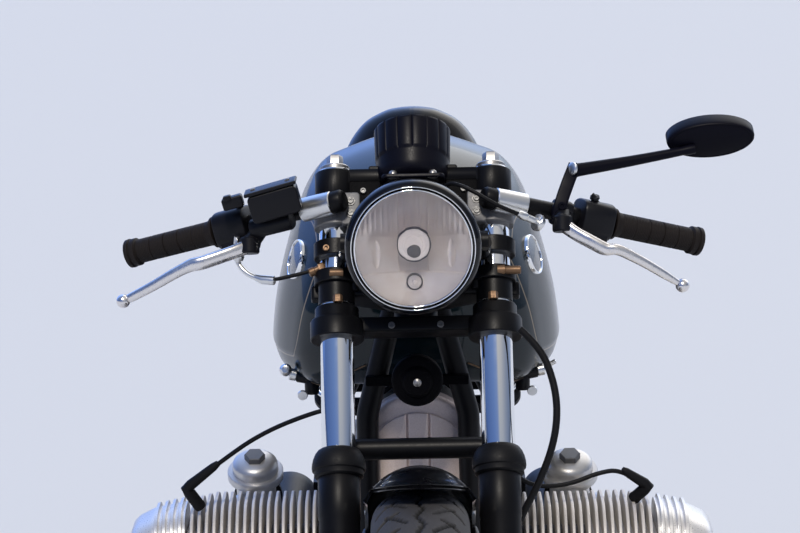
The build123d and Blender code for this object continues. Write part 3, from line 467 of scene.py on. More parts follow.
def rounded(width, height, corner, steps=8):
    """The outline of a rectangle with quarter circles for corners, in millimetres about its middle."""
    turn = np.linspace(0, pi / 2, steps)
    points = []
    for quarter, (a, b) in enumerate(((1, 1), (-1, 1), (-1, -1), (1, -1))):
        angle = turn + quarter * pi / 2
        points.append(np.stack([
            a * (width / 2 - corner) + corner * np.cos(angle),
            b * (height / 2 - corner) + corner * np.sin(angle)], -1))
    return np.concatenate(points)


def slab(outline, origin, first, second, low, high, edge):
    """A plate raised from an outline along its plane's normal, from low to high, all in millimetres. Both
    rims are rounded by edge: each ring moves in along the outline's own normals by edge * (1 - cos a) where
    it has risen by edge * sin a."""
    outline = np.array(outline, float) / 1000
    low, high, edge = low / 1000, high / 1000, edge / 1000
    run = np.roll(outline, -1, 0) - np.roll(outline, 1, 0)
    out = np.stack([run[:, 1], -run[:, 0]], -1) / np.linalg.norm(run, axis=1, keepdims=True)
    first, second = (np.array(way, float) / np.linalg.norm(way) for way in (first, second))
    normal = np.cross(first, second)
    arc = np.linspace(0, pi / 2, 4)
    inset = np.concatenate([edge * (1 - np.cos(arc))[::-1], edge * (1 - np.cos(arc))])
    rise = np.concatenate([low + edge * (1 - np.sin(arc))[::-1], high - edge * (1 - np.sin(arc))])
    rings = outline[None] - inset[:, None, None] * out[None]
    risen = np.array(origin, float) + rise[:, None, None] * normal
    return risen + rings[..., :1] * first + rings[..., 1:] * second


piece("top_bridge", satin_black, "steering", [slab(
    rounded(110, 19, 3), on_fork(0.0, -0.05, 0.1708), side_axis, up_fork, -4, 8, 1.6)])
bridge_outline = [
    (-97, -12), (-100, -30), (-92, -43), (-80, -45), (80, -45), (92, -43), (100, -30), (97, -12), (60, 8),
    (32, 25), (20, 28), (-20, 28), (-32, 25), (-60, 8)]
lower_grids.append(slab(bridge_outline, steering_foot, side_axis, behind_fork, 15, 34, 4))
for side in (1, -1):
    lower_grids.append(slab(
        rounded(18, 20, 5), on_fork(side * 0.12, leg_back + 0.02, 0), side_axis, behind_fork, 17, 35, 2))
lower_grids.append(turned([(0, -16), (14, -16), (14, 160), (0, 160)], steering_foot, up_fork, 40))
lower_grids.append(slab(
    rounded(150, 33, 6), on_fork(0.0, -0.0285, 0.0), side_axis, behind_fork, -31, -12, 3))
piece("lower_clamp_cast", satin_black, "steering", lower_grids, "lower_clamp")
zinc = finish("zinc", (0.36, 0.35, 0.34), 0.4, 400, (0.32, 0.46), metallic=0.9)


def hex_head(centre, axis, across, height):
    """A hexagonal head, in millimetres: turned, with its radius falling to the flats between six corners."""
    def flats(angle, row):
        return 0.5 * across / np.cos(np.mod(angle, pi / 3) - pi / 6) / (0.5 * across / cos(pi / 6))
    corner = 0.5 * across / cos(pi / 6)
    shape = [(0, 0), (corner, 0), (corner, height * 0.86), (corner * 0.9, height), (0, height)]
    return turned(shape, centre, axis, 48, flats)


def screw_head(centre, axis, radius, height):
    """A socket screw's head, in millimetres: a short round form with a hollow six-sided middle."""
    def socket(angle, row):
        flat = 1 / np.cos(np.mod(angle, pi / 3) - pi / 6) * 0.9
        return np.where(row >= 4, flat, 1.0)
    shape = [
        (0, 0), (radius, 0), (radius, height * 0.82), (radius * 0.86, height), (radius * 0.56, height),
        (radius * 0.54, height * 0.4), (0, height * 0.4)]
    return turned(shape, centre, axis, 24, socket)


piece("fork_caps", zinc, "steering", both(lambda side: (
    turned([(0, 0), (18.6, 0), (18.6, 4.5), (17, 6.4), (0, 6.4)], on_leg(side, 0.179), up_fork),
    hex_head(on_leg(side, 0.1852), up_fork, 18, 14.5))))
dull_steel = finish("dull_steel", (0.17, 0.17, 0.17), 0.48, 400, (0.42, 0.54), metallic=0.7)
piece("clamp_screws", dull_steel, "steering", both(lambda side: (
    screw_head(on_fork(side * 0.062, -0.0575, 0.147), -behind_fork, 3.8, 3),
    screw_head(on_fork(side * 0.03, -0.046, -0.0245), -behind_fork, 4.2, 3))))


# Front mudguard: a short steel blade with a rolled lip, painted gloss black, on a bowed tube between
# the fork legs and two stays
def squarish(angle, power):
    """A unit circle's points pulled toward a square: cos(a)^power and sin(a)^power, each with its sign."""
    across, up = np.cos(angle), np.sin(angle)
    return np.sign(across) * np.abs(across) ** power, np.sign(up) * np.abs(up) ** power


def carried(path, half_across, half_up=None, top=(0, 0, 1), steps=24, power=1.0):
    """A round, oval or boxy section, whose half widths are in millimetres, carried along a path and held
    square to it. Its corners come from squarish()."""
    path = np.array(path, float)
    half_across = np.broadcast_to(half_across, len(path)) / 1000
    half_up = half_across if half_up is None else np.broadcast_to(half_up, len(path)) / 1000
    run = np.gradient(path, axis=0)
    run /= np.linalg.norm(run, axis=1, keepdims=True)
    side = np.cross(run, top)
    side /= np.linalg.norm(side, axis=1, keepdims=True)
    rise = np.cross(side, run)
    out, up = squarish(full_turn(steps)[None], power)
    moved_out = (half_across[:, None] * out)[..., None] * side[:, None]
    return path[:, None] + moved_out + (half_up[:, None] * up)[..., None] * rise[:, None]


def bent(points, radii, steps=10):
    """A path of straight runs joined by true arcs: each arc's centre lies on its corner's bisector, at the
    radius divided by the sine of half the corner's angle."""
    points = np.array(points, float)
    path = [points[:1]]
    for before, corner, after, radius in zip(points, points[1:], points[2:], radii):
        u = (before - corner) / np.linalg.norm(before - corner)
        v = (after - corner) / np.linalg.norm(after - corner)
        half = 0.5 * np.arccos(u @ v)
        centre = corner + (u + v) / np.linalg.norm(u + v) * radius / sin(half)
        first = corner + u * radius / np.tan(half) - centre
        last = corner + v * radius / np.tan(half) - centre
        t = np.linspace(0, pi - 2 * half, steps)[:, None]
        path.append(centre + (np.sin(pi - 2 * half - t) * first + np.sin(t) * last) / sin(2 * half))
    return np.concatenate([*path, points[-1:]])


gloss_black = finish("gloss_black", (0.002, 0.002, 0.003), 0.3, 30, (0.25, 0.35), coat=0.55, specular=0.05)
guard_share = np.concatenate([[0], np.linspace(0, 1, 74), [1]])[:, None]
guard_lean = np.radians(np.linspace(-64.9, 64.9, 41))
guard_lean = np.concatenate([guard_lean, guard_lean[::-1]])[None]
guard_crown, guard_round = 0.345, 0.07286

# The front edge is cut nearly level: each lengthwise line starts where it reaches about the same height
guard_edge = guard_crown - guard_round * (1 - np.cos(guard_lean))
guard_level = 0.3222 - 0.0055 * (guard_lean / radians(52.7)) ** 2
guard_start = radians(12.4) - np.arccos(np.minimum(1, guard_level / guard_edge))
guard_turn = guard_start + guard_share * (radians(84) - guard_start)
guard_skin = np.concatenate([np.zeros(41), np.full(41, 0.0025)])[None]
end_lip = np.zeros((76, 1))
end_lip[[0, 1, 2, -3, -2, -1], 0] = [0.0004, 0.0016, 0.0009, 0.0009, 0.0016, 0.0004]
guard_inner = np.where(guard_skin > 0, -1, 1)
side_lip = 0.0012 * (np.abs(guard_lean) > 1.08) * guard_inner
guard_section = guard_round - guard_skin + side_lip
guard_reach = guard_crown - guard_round + guard_section * np.cos(guard_lean) + end_lip * guard_inner
guard_grid = np.stack([
    guard_section * np.sin(guard_lean) + 0 * guard_turn,
    guard_reach * np.sin(guard_turn), axle_z + guard_reach * np.cos(guard_turn)], -1)
brace = bent([
    (-0.097, 0.174, 0.581), (-0.097, 0.24, 0.637), (0.097, 0.24, 0.637), (0.097, 0.174, 0.581)
], [0.024, 0.024])
piece("mudguard_blade", gloss_black, "steering", [guard_grid], "front_mudguard")
piece("mudguard_brace", satin_black, "steering", [
    carried(brace, 13.2, top=(0.05, -0.7, 0.7), steps=28),
    *[carried([(side * 0.065, 0.236, 0.534), (side * 0.074, 0.15, 0.52)], 6) for side in (1, -1)]])


# Headlamp: a gloss black bowl and bezel with a thin chrome ring, and a clamp bracket on each fork tube
def cap_sphere(rim, rise):
    """The radius of a sphere whose cap has the given rim radius and rise: (rim^2 + rise^2) / (2 * rise)."""
    return (rim ** 2 + rise ** 2) / (2 * rise)


lamp_back = np.array([0.0, 1.0, 0.0])
lamp_centre = np.array([-0.0016, 0.205, 0.89])
bowl_steps = np.linspace(0, 1, 22)
bowl_sphere = cap_sphere(80, 70)
bowl_turn = np.arcsin(80 / bowl_sphere) * (1 - bowl_steps)
bowl_tail = np.stack([bowl_sphere * np.sin(bowl_turn), 104 - bowl_sphere * (1 - np.cos(bowl_turn))], -1)
bezel_shape = [
    (74.2, 12), (74.4, 3), (75.2, 0.8), (77, 0.4), (79.6, 2.2), (81.6, 5.6), (82.8, 10.5), (83, 16),
    (82.6, 22.5), (81.6, 29), (80.6, 33.5), (79.5, 34), (79.8, 34.4)]
piece(
    "lamp_bowl", gloss_black, "steering",
    [turned([(70, 12), *bezel_shape, *bowl_tail.tolist()], lamp_centre, lamp_back, 128)],
    "headlight_shell", caps=False)
ring_turn = np.linspace(0, 2 * pi, 14)
ring_circle = np.stack([np.cos(ring_turn), np.sin(ring_turn)], -1)
piece("lamp_ring", chrome_plate, "steering", [
    turned(np.array([middle, depth]) + half * ring_circle, lamp_centre, lamp_back, 128)
    for middle, half, depth in ((71, 1.1, 1.6), (75.1, 0.7, 0.6))], caps=False)
piece("lamp_brackets", satin_black, "steering", both(lambda side: (
    turned([
        (20.6, 64), (26.8, 64), (27.5, 64.8), (27.5, 83.2), (26.8, 84), (20.6, 84)], on_leg(side), up_fork),
    turned([
        (20.6, 4), (22.4, 4.2), (22.6, 30), (26.8, 30), (27.5, 30.8), (27.5, 45.2), (26.8, 46), (20.6, 46)
    ], on_leg(side), up_fork),
    carried(
        on_fork(side * 0.074, leg_back, np.array([0.02, 0.021, 0.079, 0.08])),
        [12.5, 13, 13, 12.5], [3.5, 4, 4, 3.5], top=(1, 0, 0), steps=32, power=0.25),
    turned([(0, 0), (13, 0), (13, 30), (0, 30)], (side * 0.06, 0.255, 0.89), (side, 0, 0), 32),
    carried([(side * 0.084, 0.245, 0.89), (side * 0.084, 0.307, 0.868)], 10))))
bronze_zinc = finish("bronze_zinc", (0.17, 0.1, 0.055), 0.45, 500, (0.4, 0.55), metallic=0.6)
piece("bracket_screws", bronze_zinc, "steering", [
    screw_head(on_fork(-0.1085, leg_back - 0.024, 0.071), -behind_fork, 4.2, 3.6),
    carried(on_fork(np.array([0.11, 0.111, 0.129, 0.13]), leg_back - 0.022, 0.0385), [4.6, 5.2, 5.2, 4]),
    carried(on_fork(np.array([0.101, 0.102, 0.11]), leg_back - 0.022, 0.0385), 6.8, steps=32),
    carried(on_fork(np.array([-0.088, -0.104, -0.105]), leg_back - 0.025, 0.0385), [5.2, 5.2, 4]),
    *[
        hex_head(on_fork(side * (leg_x - 0.002), leg_back - 0.0262, 0.0005), up_fork, 10.5, 9)
        for side in (1, -1)]])

# Headlamp lens: clear pressed glass, domed outside and fluted inside, over a bright reflector in two
# fields, a bulb with its round shield, and a small side light below it
clear_glass = finish("clear_glass", (0.99, 0.98, 0.97), 0.02, 40, (0.005, 0.03))
glass_sockets = clear_glass.node_tree.nodes["Principled BSDF"].inputs
glass_sockets["Transmission Weight"].default_value = 1.0
glass_sockets["IOR"].default_value = 1.45
lens_sphere = cap_sphere(0.07, 0.011)


def dome(radius, back, flute=0.0):
    """The lens as rings about the lamp's axis: a part of a sphere, let in where its inside carries upright
    flutes of the given depth: back + sphere - sqrt(sphere^2 - r^2) + flute * |sin(pi * x / 9 mm)|."""
    r = np.linspace(0, radius, 40)[:, None]
    angle = full_turn(240)[None]
    x, z = r * np.cos(angle), r * np.sin(angle)
    upper = np.clip((z + 0.018) / 0.002, 0, 1)
    ridges = flute * upper * np.abs(np.sin(pi * x / 0.009))
    y = back + lens_sphere - np.sqrt(lens_sphere ** 2 - r ** 2) + ridges
    return lamp_centre + np.stack([x, y + 0 * x, z], -1)


piece(
    "lamp_lens", clear_glass, "steering",
    [np.concatenate([dome(0.07, -0.009), dome(0.0698, -0.0065, 0.00022)[::-1]])],
    "headlight_lens", caps=False, crease=60)
mirror_coat = finish("mirror_coat", (0.95, 0.92, 0.89), 0.07, 90, (0.05, 0.12), metallic=1.0)
reflector_coat = finish(
    "reflector_coat", (0.95, 0.86, 0.81), 0.22, 70, (0.16, 0.26),
    colours=((0.93, 0.83, 0.78), (0.97, 0.89, 0.85)),
    metallic=0.3)
mirror_r = np.linspace(0.0705, 0.008, 110)[:, None]
mirror_angle = full_turn(400)[None]
mirror_x, mirror_z = mirror_r * np.cos(mirror_angle), mirror_r * np.sin(mirror_angle)
mirror_depth = 0.014 + 0.034 * (1 - (mirror_r / 0.0705) ** 2) + 0 * mirror_x

# Upper field: fine upright steps. Below a level seam it lies nearer the glass, and so do the side fields
upper_field = np.clip((mirror_z + 0.0335) / 0.0012, 0, 1)
centre_field = np.clip((0.0182 - np.abs(mirror_x)) / 0.0012, 0, 1)
mirror_depth += 0.0005 * np.abs(np.sin(pi * mirror_x / 0.0062)) * np.clip((mirror_z - 0.012) / 0.01, 0, 1)
mirror_depth -= 0.0042 * (1 - upper_field) + 0.0026 * (1 - centre_field) * upper_field
for crescent_x in (-0.045, 0.046):
    crescent = np.hypot((mirror_x - crescent_x) / 0.0045, (mirror_z + 0.01) / 0.017)
    mirror_depth += 0.0024 * np.clip(1 - crescent, 0, 1) ** 0.5
shield_place = lamp_centre + np.array([0.001, 0, 0.003])
side_light = lamp_centre + np.array([0.001, 0.0085, -0.044])
piece("lamp_reflector", reflector_coat, "steering", [
    lamp_centre + np.stack([mirror_x, mirror_depth, mirror_z], -1),
    turned([
        (0, 14.8), (8.2, 14.6), (11, 14), (11.2, 14.6), (14, 14.6), (14.2, 14), (19, 14.2), (19.6, 15),
        (19.6, 20), (0, 20)], shield_place, lamp_back, 96),
    turned([
        (0, 12.5), (2, 12.2), (3.4, 13.4), (3.6, 14.2), (5.4, 14.6), (6, 15.6), (7.8, 16), (8.4, 17.2),
        (8.6, 26), (0, 26)], side_light, lamp_back, 64)
], caps=False, crease=24)
piece(
    "lamp_bulb_shield",
    finish("bulb_grey", (0.12, 0.11, 0.115), 0.35, 300, (0.28, 0.42), metallic=0.5),
    "steering",
    [
        turned([
            (19.6, 13.6), (20.4, 13.2), (21, 14), (21, 24), (19.6, 24), (19.6, 13.6)
        ], shield_place, lamp_back, 96),
        turned(
            [(0, 12), (5.8, 12.4), (8, 13.8), (8.4, 16.5), (8.4, 30), (0, 30)],
            lamp_centre + np.array([0.001, 0, -0.005]), lamp_back, 48),
        turned(
            [(8.6, 15), (9.4, 14.6), (10, 15.4), (10, 24), (8.6, 24), (8.6, 15)],
            side_light, lamp_back, 64)],
    caps=False)

# Gauge: one round instrument in a black fluted cup, tilted to the rider, bolted above the clamp
gauge_centre = np.array([0.0, 0.384, 1.01])
gauge_lean = radians(35)
gauge_up = np.array([0.0, sin(gauge_lean), cos(gauge_lean)])


def flutes(angle, row):
    """Sixteen wide scallops round the cup's ring, on rows 4 to 7 of its profile."""
    scallop = np.abs(np.sin(8 * angle)) ** 0.35
    return np.where((row >= 4) & (row <= 7), 1 - 0.035 * (1 - scallop), 1.0)


gauge_shape = [
    (42.5, -4.5), (42.5, -0.5), (44, 0), (46.8, -0.6), (47.8, -2.2), (48, -4), (47, -40), (46.6, -42),
    (45.2, -44), (44.8, -46), (44.2, -60), (43, -68), (39, -73.5), (32, -76), (0, -76.8)]
piece(
    "gauge_cup",
    finish("moulded_black", (0.004, 0.004, 0.008), 0.42, 900, (0.3, 0.44), bump=0.00004, specular=0.12),
    "steering",
    [
        turned(gauge_shape, gauge_centre, gauge_up, 480, flutes),
        slab(rounded(78, 46, 8), on_fork(0, -0.074, 0.15), side_axis, behind_fork, 0, 5, 1.2)],
    "gauge", caps=False)
piece(
    "gauge_dial",
    finish("dial_black", (0.01, 0.01, 0.011), 0.6, 800, (0.55, 0.7)),
    "steering",
    [turned([(0, -4.3), (42.4, -4.3), (42.4, -5), (0, -5)], gauge_centre, gauge_up, 64)])

# The dial reads away from the rider: pale ticks over three quarters of a turn, a pointer, and a glass
dial_right, dial_top = -side_axis, np.array([0.0, -gauge_up[2], gauge_up[1]])
mark_grids = []
tick_ring, pointer_turn = 0.039, 2.1
for tick in range(25):
    lean = radians(-135 + tick * 11.25)
    outward = sin(lean) * dial_right + cos(lean) * dial_top
    across_mark = cos(lean) * dial_right - sin(lean) * dial_top
    tall = 8.0 if tick % 4 == 0 else 4.5
    mark_grids.append(slab(
        rounded(1.2, tall, 0.4, 3),
        gauge_centre - 0.0044 * gauge_up + (tick_ring - tall / 2000) * outward,
        across_mark, outward, 0, 0.3, 0.1))
mark_grids.append(slab(
    [(1.3, -7), (0.5, 31), (-0.5, 31), (-1.3, -7)], gauge_centre - 0.0034 * gauge_up,
    cos(pointer_turn) * dial_right + sin(pointer_turn) * dial_top,
    -sin(pointer_turn) * dial_right + cos(pointer_turn) * dial_top, 0, 0.5, 0.1))
mark_grids.append(turned([(0, -4.2), (4.2, -4.2), (4, -2.6), (0, -2.4)], gauge_centre, gauge_up, 32))
piece(
    "dial_marks",
    finish("dial_white", (0.62, 0.62, 0.58), 0.5, 500, (0.45, 0.6)),
    "steering", mark_grids)
piece("gauge_glass", clear_glass, "steering", [turned([
    (0, -1.2), (42.4, -1.6), (42.4, -2.2), (0, -2)], gauge_centre, gauge_up, 64)])
piece("gauge_bolts", zinc, "steering", [
    turned([
        (0, 0), (6.8, 0), (6.8, 1.6), (5.2, 2), (5.2, 5.6), (4.5, 7.6), (2.6, 9), (0, 9.5)
    ], on_fork(side * 0.0245, -0.083, 0.1545), up_fork, 32)
    for side in (1, -1)])
plate_black = finish(
    "plate_black", (0.003, 0.003, 0.004), 0.5, 700, (0.46, 0.58), bump=0.00004, specular=0.03)
piece("clamp_plates", plate_black, "steering", [
    slab(rounded(40, 46, 6), on_fork(side * 0.06, -0.051, 0.139), side_axis, up_fork, -4, 6, 1.2)
    for side in (1, -1)])

# Clip-on bars: black steel tubes in silver sleeves, each held under the upper clamp by a grey alloy
# clamp round the fork tube
bar_in = np.array([0.096, 0.303, 0.935])
bar_out = np.array([0.362, 0.4, 0.86])


def on_bar(side, share, forward=0.0, up=0.0):
    """Points along a handlebar, from its inner end at 0 to its outer end at 1."""
    share = np.asarray(share, float)[..., None]
    return (bar_in + (bar_out - bar_in) * share) * [side, 1, 1] + np.array([0, -forward, up])


piece("handlebars", satin_black, "steering", [
    carried(
        on_bar(side, [-0.045, -0.042, -0.03, 0.01, 0.012, 0.98, 0.985]),
        [8.5, 11.2, 13.8, 13.8, 11, 11, 10.5], steps=40)
    for side in (1, -1)], "clip_ons")
grey_alloy = finish("grey_alloy", (0.13, 0.13, 0.135), 0.55, 600, (0.45, 0.56), bump=0.00003, metallic=0.3)
piece("bar_clamps", grey_alloy, "steering", both(lambda side: (
    turned([
        (20.6, 103), (25.8, 103), (26.8, 104), (26.8, 140), (25.8, 141), (20.6, 141)
    ], on_leg(side), up_fork, 48),
    slab(rounded(24, 42, 5), on_fork(side * 0.078, leg_back - 0.02, 0.122), side_axis, up_fork, -10, 6, 1.6)
)))
silver_sleeve = finish("silver_sleeve", (0.75, 0.75, 0.74), 0.3, 1400, (0.28, 0.32), metallic=1.0)
piece("bar_sleeves", silver_sleeve, "steering", [
    carried(on_bar(side, [0.012, 0.016, 0.152, 0.156]), [13.8, 14.8, 14.8, 13.6], steps=40)
    for side in (1, -1)])
dark_steel = finish("dark_steel", (0.05, 0.05, 0.052), 0.35, 400, (0.3, 0.45), metallic=0.6)
bolt_places = [
    on_fork(side * 0.0775, leg_back - 0.0262, up) for side in (1, -1) for up in (0.131, 0.115)]
piece("bar_clamp_bolts", dull_steel, "steering", [
    screw_head(bolt, -behind_fork, 3.4, 2.2) for bolt in bolt_places])
piece("bar_clamp_bolt_rings", dark_steel, "steering", [
    turned([(3.6, 0), (5.8, 0), (5.6, 0.9), (3.8, 0.9), (3.6, 0)], bolt, -behind_fork, 32)
    for bolt in bolt_places], caps=False)

# Grips: moulded black rubber sleeves with an inner flange, five finely ringed fields, and a thick ring
# and cap at the outer end
grip_steps = np.linspace(0, 1, 300)
grip_shape = np.interp(
    grip_steps,
    [0, 0.004, 0.03, 0.036, 0.09, 0.87, 0.88, 0.925, 0.93, 0.942, 0.947, 0.985, 1.0],
    [11.5, 19.6, 19.6, 16.6, 15.4, 15.2, 17.6, 17.6, 16.4, 16.4, 18.4, 18, 12])
grip_ribs = 0.35 * (np.cos(grip_steps * 2 * pi * 62) > 0)
grip_ribs += 0.9 * (np.abs(np.mod(grip_steps * 6.4, 1) - 0.5) < 0.035)
grip_ribs *= (grip_steps > 0.1) & (grip_steps < 0.865)
grip_length = {1: 0.432, -1: 0.436}
piece(
    "ribbed_grips",
    finish("grip_rubber", (0.014, 0.011, 0.01), 0.55, 500, (0.48, 0.62), bump=0.00005, specular=0.15),
    "steering",
    [
        carried(on_bar(side, 0.56 + length * grip_steps), grip_shape - grip_ribs, steps=48)
        for side, length in grip_length.items()],
    "grips", crease=28)

# Levers: polished aluminium blades, flat and slightly bowed, each with a ball end
lever_routes = {
    -1: (
        (-0.2034, 0.306, 0.8824), (-0.2287, 0.296, 0.8746), (-0.2599, 0.289, 0.8655),
        (-0.2757, 0.29, 0.8618), (-0.2979, 0.293, 0.8507), (-0.3225, 0.301, 0.8359),
        (-0.3495, 0.311, 0.8209), (-0.357, 0.313, 0.817)),
    1: (
        (0.1825, 0.3, 0.9024), (0.1975, 0.294, 0.8918), (0.2168, 0.289, 0.8811), (0.2341, 0.287, 0.8722),
        (0.2494, 0.287, 0.8708), (0.2691, 0.29, 0.8608), (0.2912, 0.296, 0.8473), (0.324, 0.307, 0.825))}
lever_balls = {-1: (-0.362, 0.314, 0.815), 1: (0.3303, 0.309, 0.8208)}
polished = finish("polished_alloy", (0.82, 0.79, 0.77), 0.24, 150, (0.2, 0.3), metallic=1.0)
lever_share = np.linspace(0, 1, 70)
lever_thick = np.interp(lever_share, [0, 0.03, 0.4, 0.92, 1.0], [4, 6.4, 6, 4.8, 3.6])
lever_tall = np.interp(lever_share, [0, 0.03, 0.12, 0.4, 0.5, 0.92, 1.0], [6.2, 9, 8.6, 8.4, 7, 5.6, 4])
ball_turn = np.linspace(0, pi, 22)
ball_shape = 8.6 * np.stack([np.sin(ball_turn), -np.cos(ball_turn)], -1)
piece("lever_blades", polished, "steering", [
    grid for side, route in lever_routes.items() for grid in (
        carried(smooth_run(route, 70), lever_thick, lever_tall, steps=24, power=0.8),
        turned(ball_shape, lever_balls[side], (side, 0.1, -0.5), 40))], "levers")

# Switch housings: black moulded boxes round the bars with push buttons, and lever perches inboard
moulded = finish("switch_black", (0.005, 0.005, 0.007), 0.36, 900, (0.3, 0.46), bump=0.00004, specular=0.22)
housing_grids = []
switch_share = {1: 0.485, -1: 0.45}
for side in (1, -1):
    for start, end, half, corner_power in ((0.4, 0.55, 23.5, 0.62), (0.29, 0.36, 16.5, 0.6)):
        share = np.array([start, start + 0.004, start + 0.012, end - 0.012, end - 0.004, end])
        size = half * np.array([0.84, 0.95, 1.0, 1.0, 0.95, 0.84])
        housing_grids.append(carried(on_bar(side, share), size, steps=48, power=corner_power))
    perch = np.linspace(on_bar(side, 0.33, 0.014), lever_routes[side][0], 8)
    housing_grids.append(carried(perch, np.interp(
        np.arange(8), [0, 5, 6, 7], [11, 10.5, 12.5, 10.5]), steps=32))
    housing_grids.append(turned([
        (0, -10), (11, -10), (12.5, -8), (12.5, 8), (11, 10), (0, 10)
    ], lever_routes[side][0], (0, 0.3, 1), 32))
    # A rounded lobe under the drum holds the wires, and a small ribbed lever stands on it
    housing_grids.append(carried(
        on_bar(side, [0.435, 0.44, 0.525, 0.53], 0.01, -0.017),
        [10, 12, 12, 10], steps=32, power=0.7))
    housing_grids.append(turned(
        [(0, 0), (6, 0), (6, 5), (4.8, 5.6), (4.8, 9), (6.2, 10), (5.8, 13), (0, 13.6)],
        on_bar(side, switch_share[side], 0.004, 0.019),
        (0, -0.35, 1), 24))
    housing_grids.append(carried([
        on_bar(side, switch_share[side] - 0.012, 0.006, 0.033),
        on_bar(side, switch_share[side] + 0.012, 0.01, 0.029)], 3, 2.2, steps=16, power=0.5))
piece("switch_boxes", moulded, "steering", housing_grids, "switch_housings", crease=32)

# Brake master cylinder: a black cast body with a tilted square reservoir and a lid held by two screws
tilt = radians(15)
cup_across = np.array([cos(tilt), 0.0, sin(tilt)])
cup_up = np.array([-sin(tilt), 0.0, cos(tilt)])
cup_centre = on_bar(-1, 0.27, 0.04, 0.018) + np.array([-0.0032, 0, 0.0105])
cup_back = np.cross(cup_across, cup_up)
piece("master_cylinder_body", moulded, "steering", [
    slab(rounded(62, 34, 6), cup_centre - 0.005 * cup_up, cup_across, cup_up, -18, 24, 2),
    slab(rounded(66, 4.5, 2), cup_centre + 0.015 * cup_up, cup_across, cup_up, -19.8, 25.8, 1),
    slab(rounded(26, 15, 3), (-0.2225, 0.31, 0.9365), cup_across, cup_up, -10, 10, 2),
    slab(rounded(10, 6, 2), (-0.229, 0.304, 0.943), cup_across, cup_up, -4, 8, 1),
    carried(on_bar(-1, [0.39, 0.385, 0.21, 0.2], 0.03, -0.004), [10, 12, 12, 10], steps=32)
], "master_cylinder")
piece("reservoir_screws", zinc, "steering", [
    screw_head(cup_centre + cup_up * 0.0171 + cup_across * across + cup_back * 0.003, cup_up, 3.2, 2.2)
    for across in (-0.022, 0.022)])

# Mirror: an oval black housing with a glass facing the rider, on a flat black arm and a thin stalk
mirror_centre = np.array([0.372, 0.384, 0.9965])
mirror_across = np.array([1.0, 0.0, 0.06])
mirror_across /= np.linalg.norm(mirror_across)
mirror_normal = np.array([-0.09, 0.91, 0.41])
mirror_normal -= mirror_normal @ mirror_across * mirror_across
mirror_normal /= np.linalg.norm(mirror_normal)
mirror_up = np.cross(mirror_across, mirror_normal)
oval_turn = full_turn(72)


def oval(share, depth):
    """One ring of the mirror: an oval of half widths 55 and 25.5 mm times share, depth metres back."""
    across = 0.055 * np.cos(oval_turn)[:, None] * mirror_across
    up = 0.0255 * np.sin(oval_turn)[:, None] * mirror_up
    return mirror_centre + share * (across + up) + depth * mirror_normal


oval_rows = [
    oval(*row) for row in (
        (0.9, 0.009), (0.94, 0.01), (0.975, 0.011), (1.0, 0.0095), (1.0, -0.005), (0.99, -0.0085),
        (0.965, -0.0105), (0.93, -0.0112), (0.9, -0.0106), (0.88, -0.0108), (0.7, -0.0128), (0.45, -0.0142),
        (0.2, -0.0148), (0.0, -0.015))]
arm = smooth_run([
    (0.1764, 0.314, 0.9009), (0.1814, 0.318, 0.924), (0.1912, 0.332, 0.9483), (0.2007, 0.34, 0.9697)], 14)
stalk = smooth_run([
    (0.202, 0.341, 0.9632), (0.2073, 0.342, 0.9636), (0.24, 0.35, 0.9672), (0.275, 0.358, 0.9714),
    (0.32, 0.366, 0.978), (0.3517, 0.37, 0.983)], 30)
piece(
    "mirror_housing",
    finish("mirror_black", (0.003, 0.003, 0.007), 0.4, 900, (0.36, 0.48), bump=0.00003, specular=0.08),
    "steering",
    [
        np.stack(oval_rows),
        carried(arm, 8.2, 3.2, top=(0, -1, 0.3), steps=24, power=0.4),
        carried(stalk, np.interp(
            np.linspace(0, 1, 30), [0, 0.06, 0.12, 0.9, 0.95, 1], [8, 9.6, 8.6, 5.4, 6.4, 5.8]), steps=28),
        turned(
            [(0, -6), (10, -6), (11, -4), (11, 4), (10, 6), (0, 6)],
            (0.18, 0.322, 0.915), (0, 1, 0), 32),
        screw_head((0.183, 0.3148, 0.9225), (0, -1, 0.2), 5.2, 3.4)],
    "mirror")
piece("mirror_glass", mirror_coat, "steering", [np.stack([
    oval(*row) for row in ((0.9, 0.008), (0.9, 0.0092), (0.5, 0.0094), (0, 0.0094))])])
piece("mirror_bolts", silver_sleeve, "steering", [turned(
    [(0, 0), (8.2, 0), (8.2, 2), (6.6, 3.4), (4, 4), (0, 4.2)],
    (0.198, 0.335, 0.9655), (-0.75, -0.62, 0.15), 32)])


# Control cables: a black brake hose on each side of the lower clamp, and the clutch cable over the lamp
def held_line(name, route, radius, made, body):
    """A smooth round cable: a third-order curve whose control points are the route's."""
    curve = bpy.data.curves.new(name, "CURVE")
    curve.dimensions = "3D"
    curve.bevel_depth = radius
    curve.bevel_resolution = 5
    curve.resolution_u = 10
    curve.use_fill_caps = True
    line = curve.splines.new("NURBS")
    line.points.add(len(route) - 1)
    line.points.foreach_set("co", np.array([(*point, 1) for point in route]).ravel())
    line.order_u = 3
    line.use_endpoint_u = True
    curve.materials.append(made)
    thing = bpy.data.objects.new(name, curve)
    bpy.context.scene.collection.objects.link(thing)
    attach(thing, body)
    return thing


